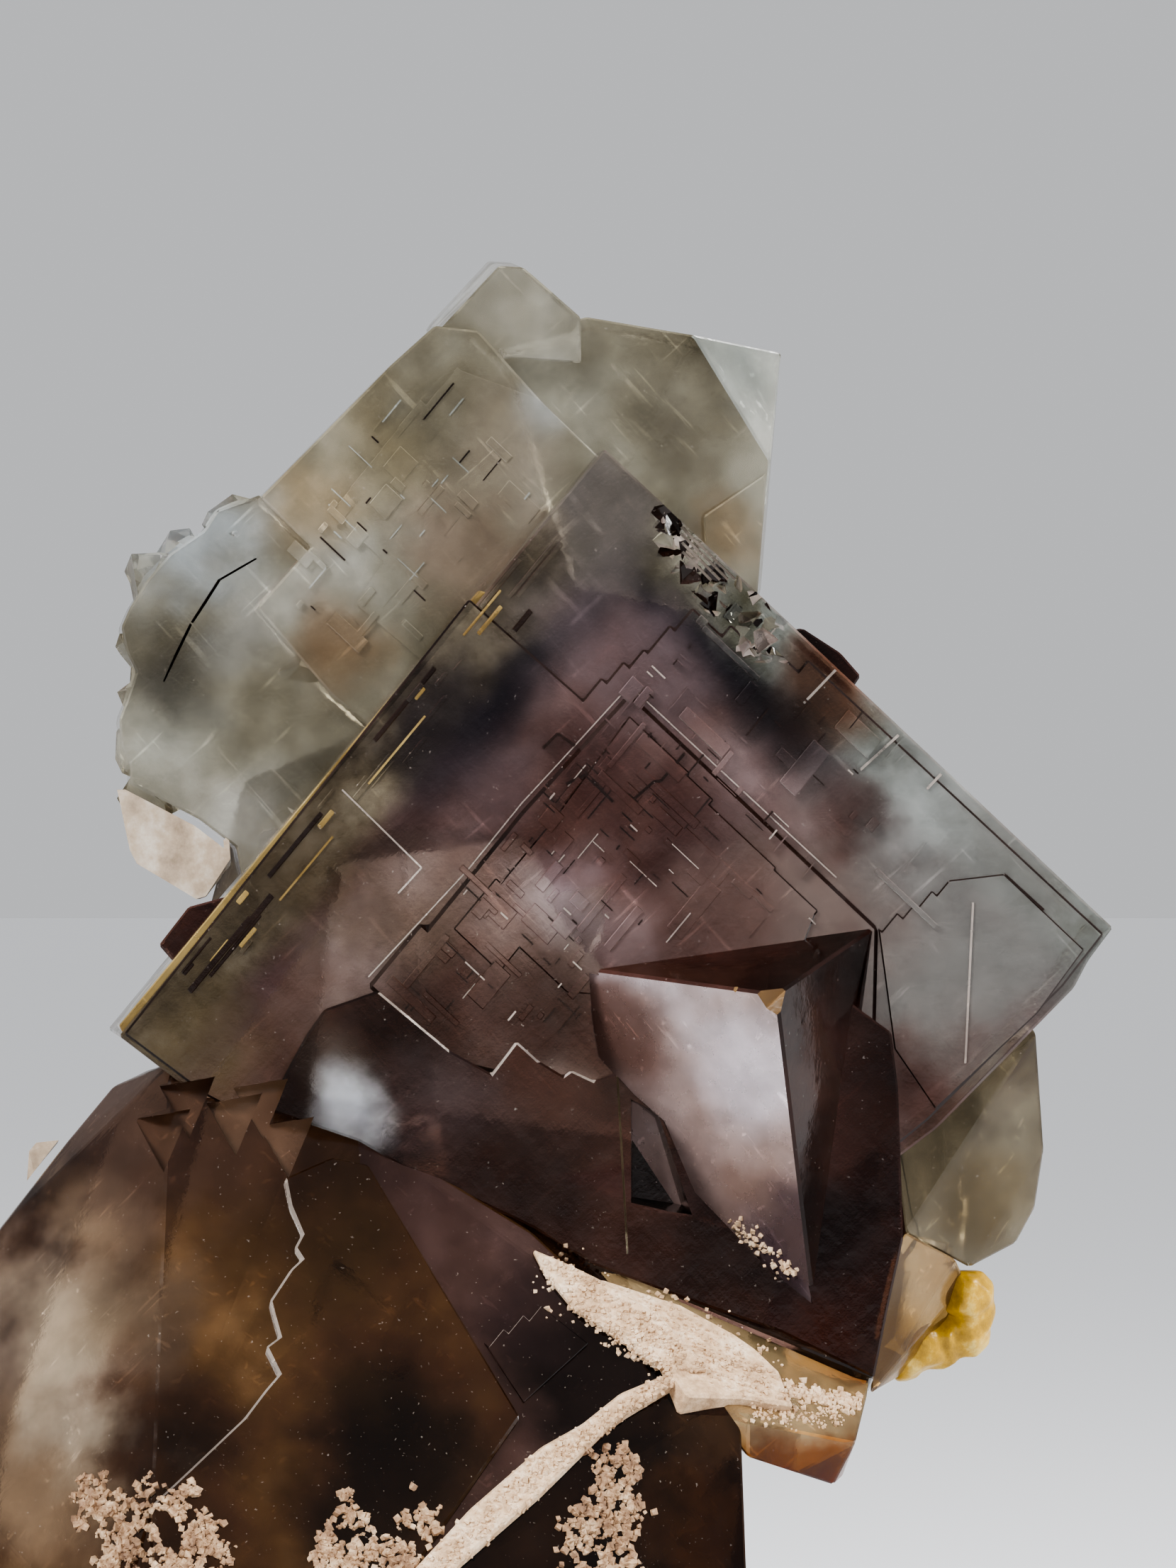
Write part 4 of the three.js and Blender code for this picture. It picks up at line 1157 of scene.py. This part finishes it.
def one_piece(name, parts, material):
    """Several solids in one object, with one material."""
    shape = bmesh.new()
    for part in parts:
        shape.from_mesh(part.data)
    return as_object(name, shape, 0, [material])


class Ground:
    """The surfaces that grains stand on, as seen from the front."""

    def __init__(self, *pieces):
        self.trees = []
        for piece in pieces:
            shape = bmesh.new()
            shape.from_mesh(piece.data)
            self.trees.append(BVHTree.FromBMesh(shape))
            shape.free()

    def point(self, place):
        """The nearest surface point at a place of the front view, or None."""
        x, _, z = corner((*place, 0))
        start = Vector((x, RAY_START, z))
        hits = [tree.ray_cast(start, Vector((0, 1, 0))) for tree in self.trees]
        found = [hit[0] for hit in hits if hit[0] is not None]
        return min(found, key=lambda point: point.y) if found else None


def grain(ground, place, radius, draw):
    """One small rough crystal standing on the ground, or nothing where there is no ground."""
    turn = Matrix.Rotation(draw.random() * 6.3, 3, Vector([draw.random() - 0.5 for _ in range(3)]))
    sizes = [[radius * (0.6 + 0.5 * draw.random()) for _ in range(3)] for _ in range(8)]
    centre = ground.point(place)
    if centre is None:
        return []
    corners = [(a, b, c) for a in (-1, 1) for b in (-1, 1) for c in (-1, 1)]
    points = [
        centre + turn @ Vector([sign * size for sign, size in zip(signs, lengths)])
        for signs, lengths in zip(corners, sizes)
    ]
    return [hull(points, "pale")]


def sprinkle(ground, start, end, spread, count, size, draw):
    """Grains along a line of the front view, scattered to both sides of it."""
    start, end = Vector(start), Vector(end)
    aside = (end - start).orthogonal().normalized()
    grains = []
    for _ in range(count):
        place = start.lerp(end, draw.random()) + aside * (spread * draw.gauss(0, 0.5))
        grains += grain(ground, place, size * (0.5 + draw.random() ** 2), draw)
    return grains


# Each patch of small crystals: its side, middle, half size, seed, branches
DRUSES = [
    ("left", (225, 2140), (112, 84), 3, 190),
    ("middle", (535, 2150), (92, 60), 4, 110),
    ("right", (850, 2125), (54, 98), 5, 120),
]


def coral(side, ground, middle, size, seed, branches):
    """A patch of small crystals grown in short crooked branches."""
    draw = Random(seed)
    middle, size = Vector(middle), Vector(size)
    centres = [
        middle + size * Vector((1.6 * draw.random() - 0.8, 0.9 - 1.7 * draw.random() ** 1.3))
        for _ in range(9)
    ]
    grains = []
    for _ in range(branches):
        place = draw.choice(centres) + Vector((draw.gauss(0, 16), draw.gauss(0, 16)))
        heading = draw.random() * 2 * math.pi
        for _ in range(draw.randint(4, 12)):
            grains += grain(ground, place, 0.06 + 0.15 * draw.random() ** 1.5, draw)
            heading += draw.gauss(0, 0.9)
            place += Vector((math.cos(heading), math.sin(heading))) * 4
            if abs(place.x - middle.x) > size.x or abs(place.y - middle.y) > size.y:
                break
    return one_piece("sugar_" + side, grains, SUGAR)


def ridge_crust():
    """The narrow cream ridge between the brown crystal and the dark one."""
    outline = [
        (957, 1924), (875, 1957), (821, 1999), (764, 2030), (665, 2114), (570, 2214), (520, 2270),
        (548, 2292), (630, 2212), (653, 2186), (764, 2092), (856, 2004), (883, 1985), (957, 1940),
    ]
    draw = Random(51)
    sheet = plate(outline, RIDGE_FACE.lifted(0.7), 0.9, "pale", 0.15)
    ground = Ground(sheet)
    parts = [sheet]
    for start, end, spread in [
        ((945, 1934), (764, 2060), 16), ((764, 2060), (560, 2255), 26),
    ]:
        parts += sprinkle(ground, start, end, spread, 420, 0.1, draw)
    return one_piece("cream_ridge", parts, CRUST)


def block_crust(body):
    """The cream coating on the amber block, and the white specks on the twin's face."""
    on_mauve = [
        (752, 1758), (800, 1778), (846, 1800), (930, 1850), (1000, 1925), (955, 1930), (917, 1915),
        (870, 1877), (812, 1843), (768, 1790),
    ]
    on_block = [
        (846, 1800), (960, 1838), (1037, 1880), (1066, 1900), (1100, 1932), (1110, 1960), (1120, 1978),
        (1092, 1974), (1050, 1966), (970, 1962), (940, 1920),
    ]
    draw = Random(61)
    sheets = [
        plate(on_mauve, MAUVE_FACE.lifted(0.6), 0.9, "pale", 0.15),
        plate(on_block, BLOCK_FACE.lifted(0.6), 0.9, "pale", 0.15),
    ]
    ground = Ground(body, *sheets)
    parts = list(sheets)
    for start, end, spread, count, size in [
        ((770, 1776), (960, 1915), 36, 420, 0.1), ((812, 1843), (950, 1934), 8, 150, 0.11),
        ((900, 1850), (1090, 1950), 38, 420, 0.1), ((1100, 1958), (1215, 1980), 13, 260, 0.12),
        ((1060, 1990), (1190, 2000), 16, 160, 0.09), ((1030, 1722), (1120, 1800), 14, 90, 0.11),
    ]:
        parts += sprinkle(ground, start, end, spread, count, size, draw)
    return one_piece("cream_coating", parts, CRUST)


def yellow_lumps():
    """Smooth waxy lumps on the outer edge of the tan crystal."""
    places = [
        (1366, 1828, 6.6, 1.5), (1372, 1858, 7.4, 1.5), (1356, 1884, 8, 1.7), (1330, 1896, 7.6, 1.6),
        (1302, 1904, 7.2, 1.5), (1280, 1925, 7, 1.2), (1358, 1850, 10, 1.7), (1330, 1880, 10.5, 1.8),
    ]
    lumps = [lump(place, radius, 101 + i, "pale", 1.1, 40) for i, (*place, radius) in enumerate(places)]
    piece = one_piece("waxy_lumps", [combine(lumps[0], lumps[1:], "UNION")], YELLOW)
    link(piece)
    remesh = piece.modifiers.new("even", "REMESH")
    remesh.mode = "VOXEL"
    remesh.voxel_size = LUMP_VOXEL
    smooth = piece.modifiers.new("smooth", "SMOOTH")
    smooth.iterations = LUMP_SMOOTHING
    mesh = evaluated_mesh(piece)
    for polygon in mesh.polygons:
        polygon.use_smooth = True
    bpy.data.objects.remove(piece)
    return bpy.data.objects.new("waxy_lumps", mesh)


add_camera()
add_studio()
crystals = fluorite()
crusts = {side: coral(side, Ground(crystals), *rest) for side, *rest in DRUSES}
coating = block_crust(crystals)
show(crystals, ["fluorite_cluster"])
show(coating, ["cream_block_crust"])
show(ridge_crust(), ["cream_ridge_crust"])
for side, piece in crusts.items():
    show(piece, ["pale_druse_" + side])
show(yellow_lumps(), ["yellow_lumps"])
for name in ("cream_crystal", "white_crystal"):
    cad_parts[name].data.materials.clear()
    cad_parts[name].data.materials.append(PALE)
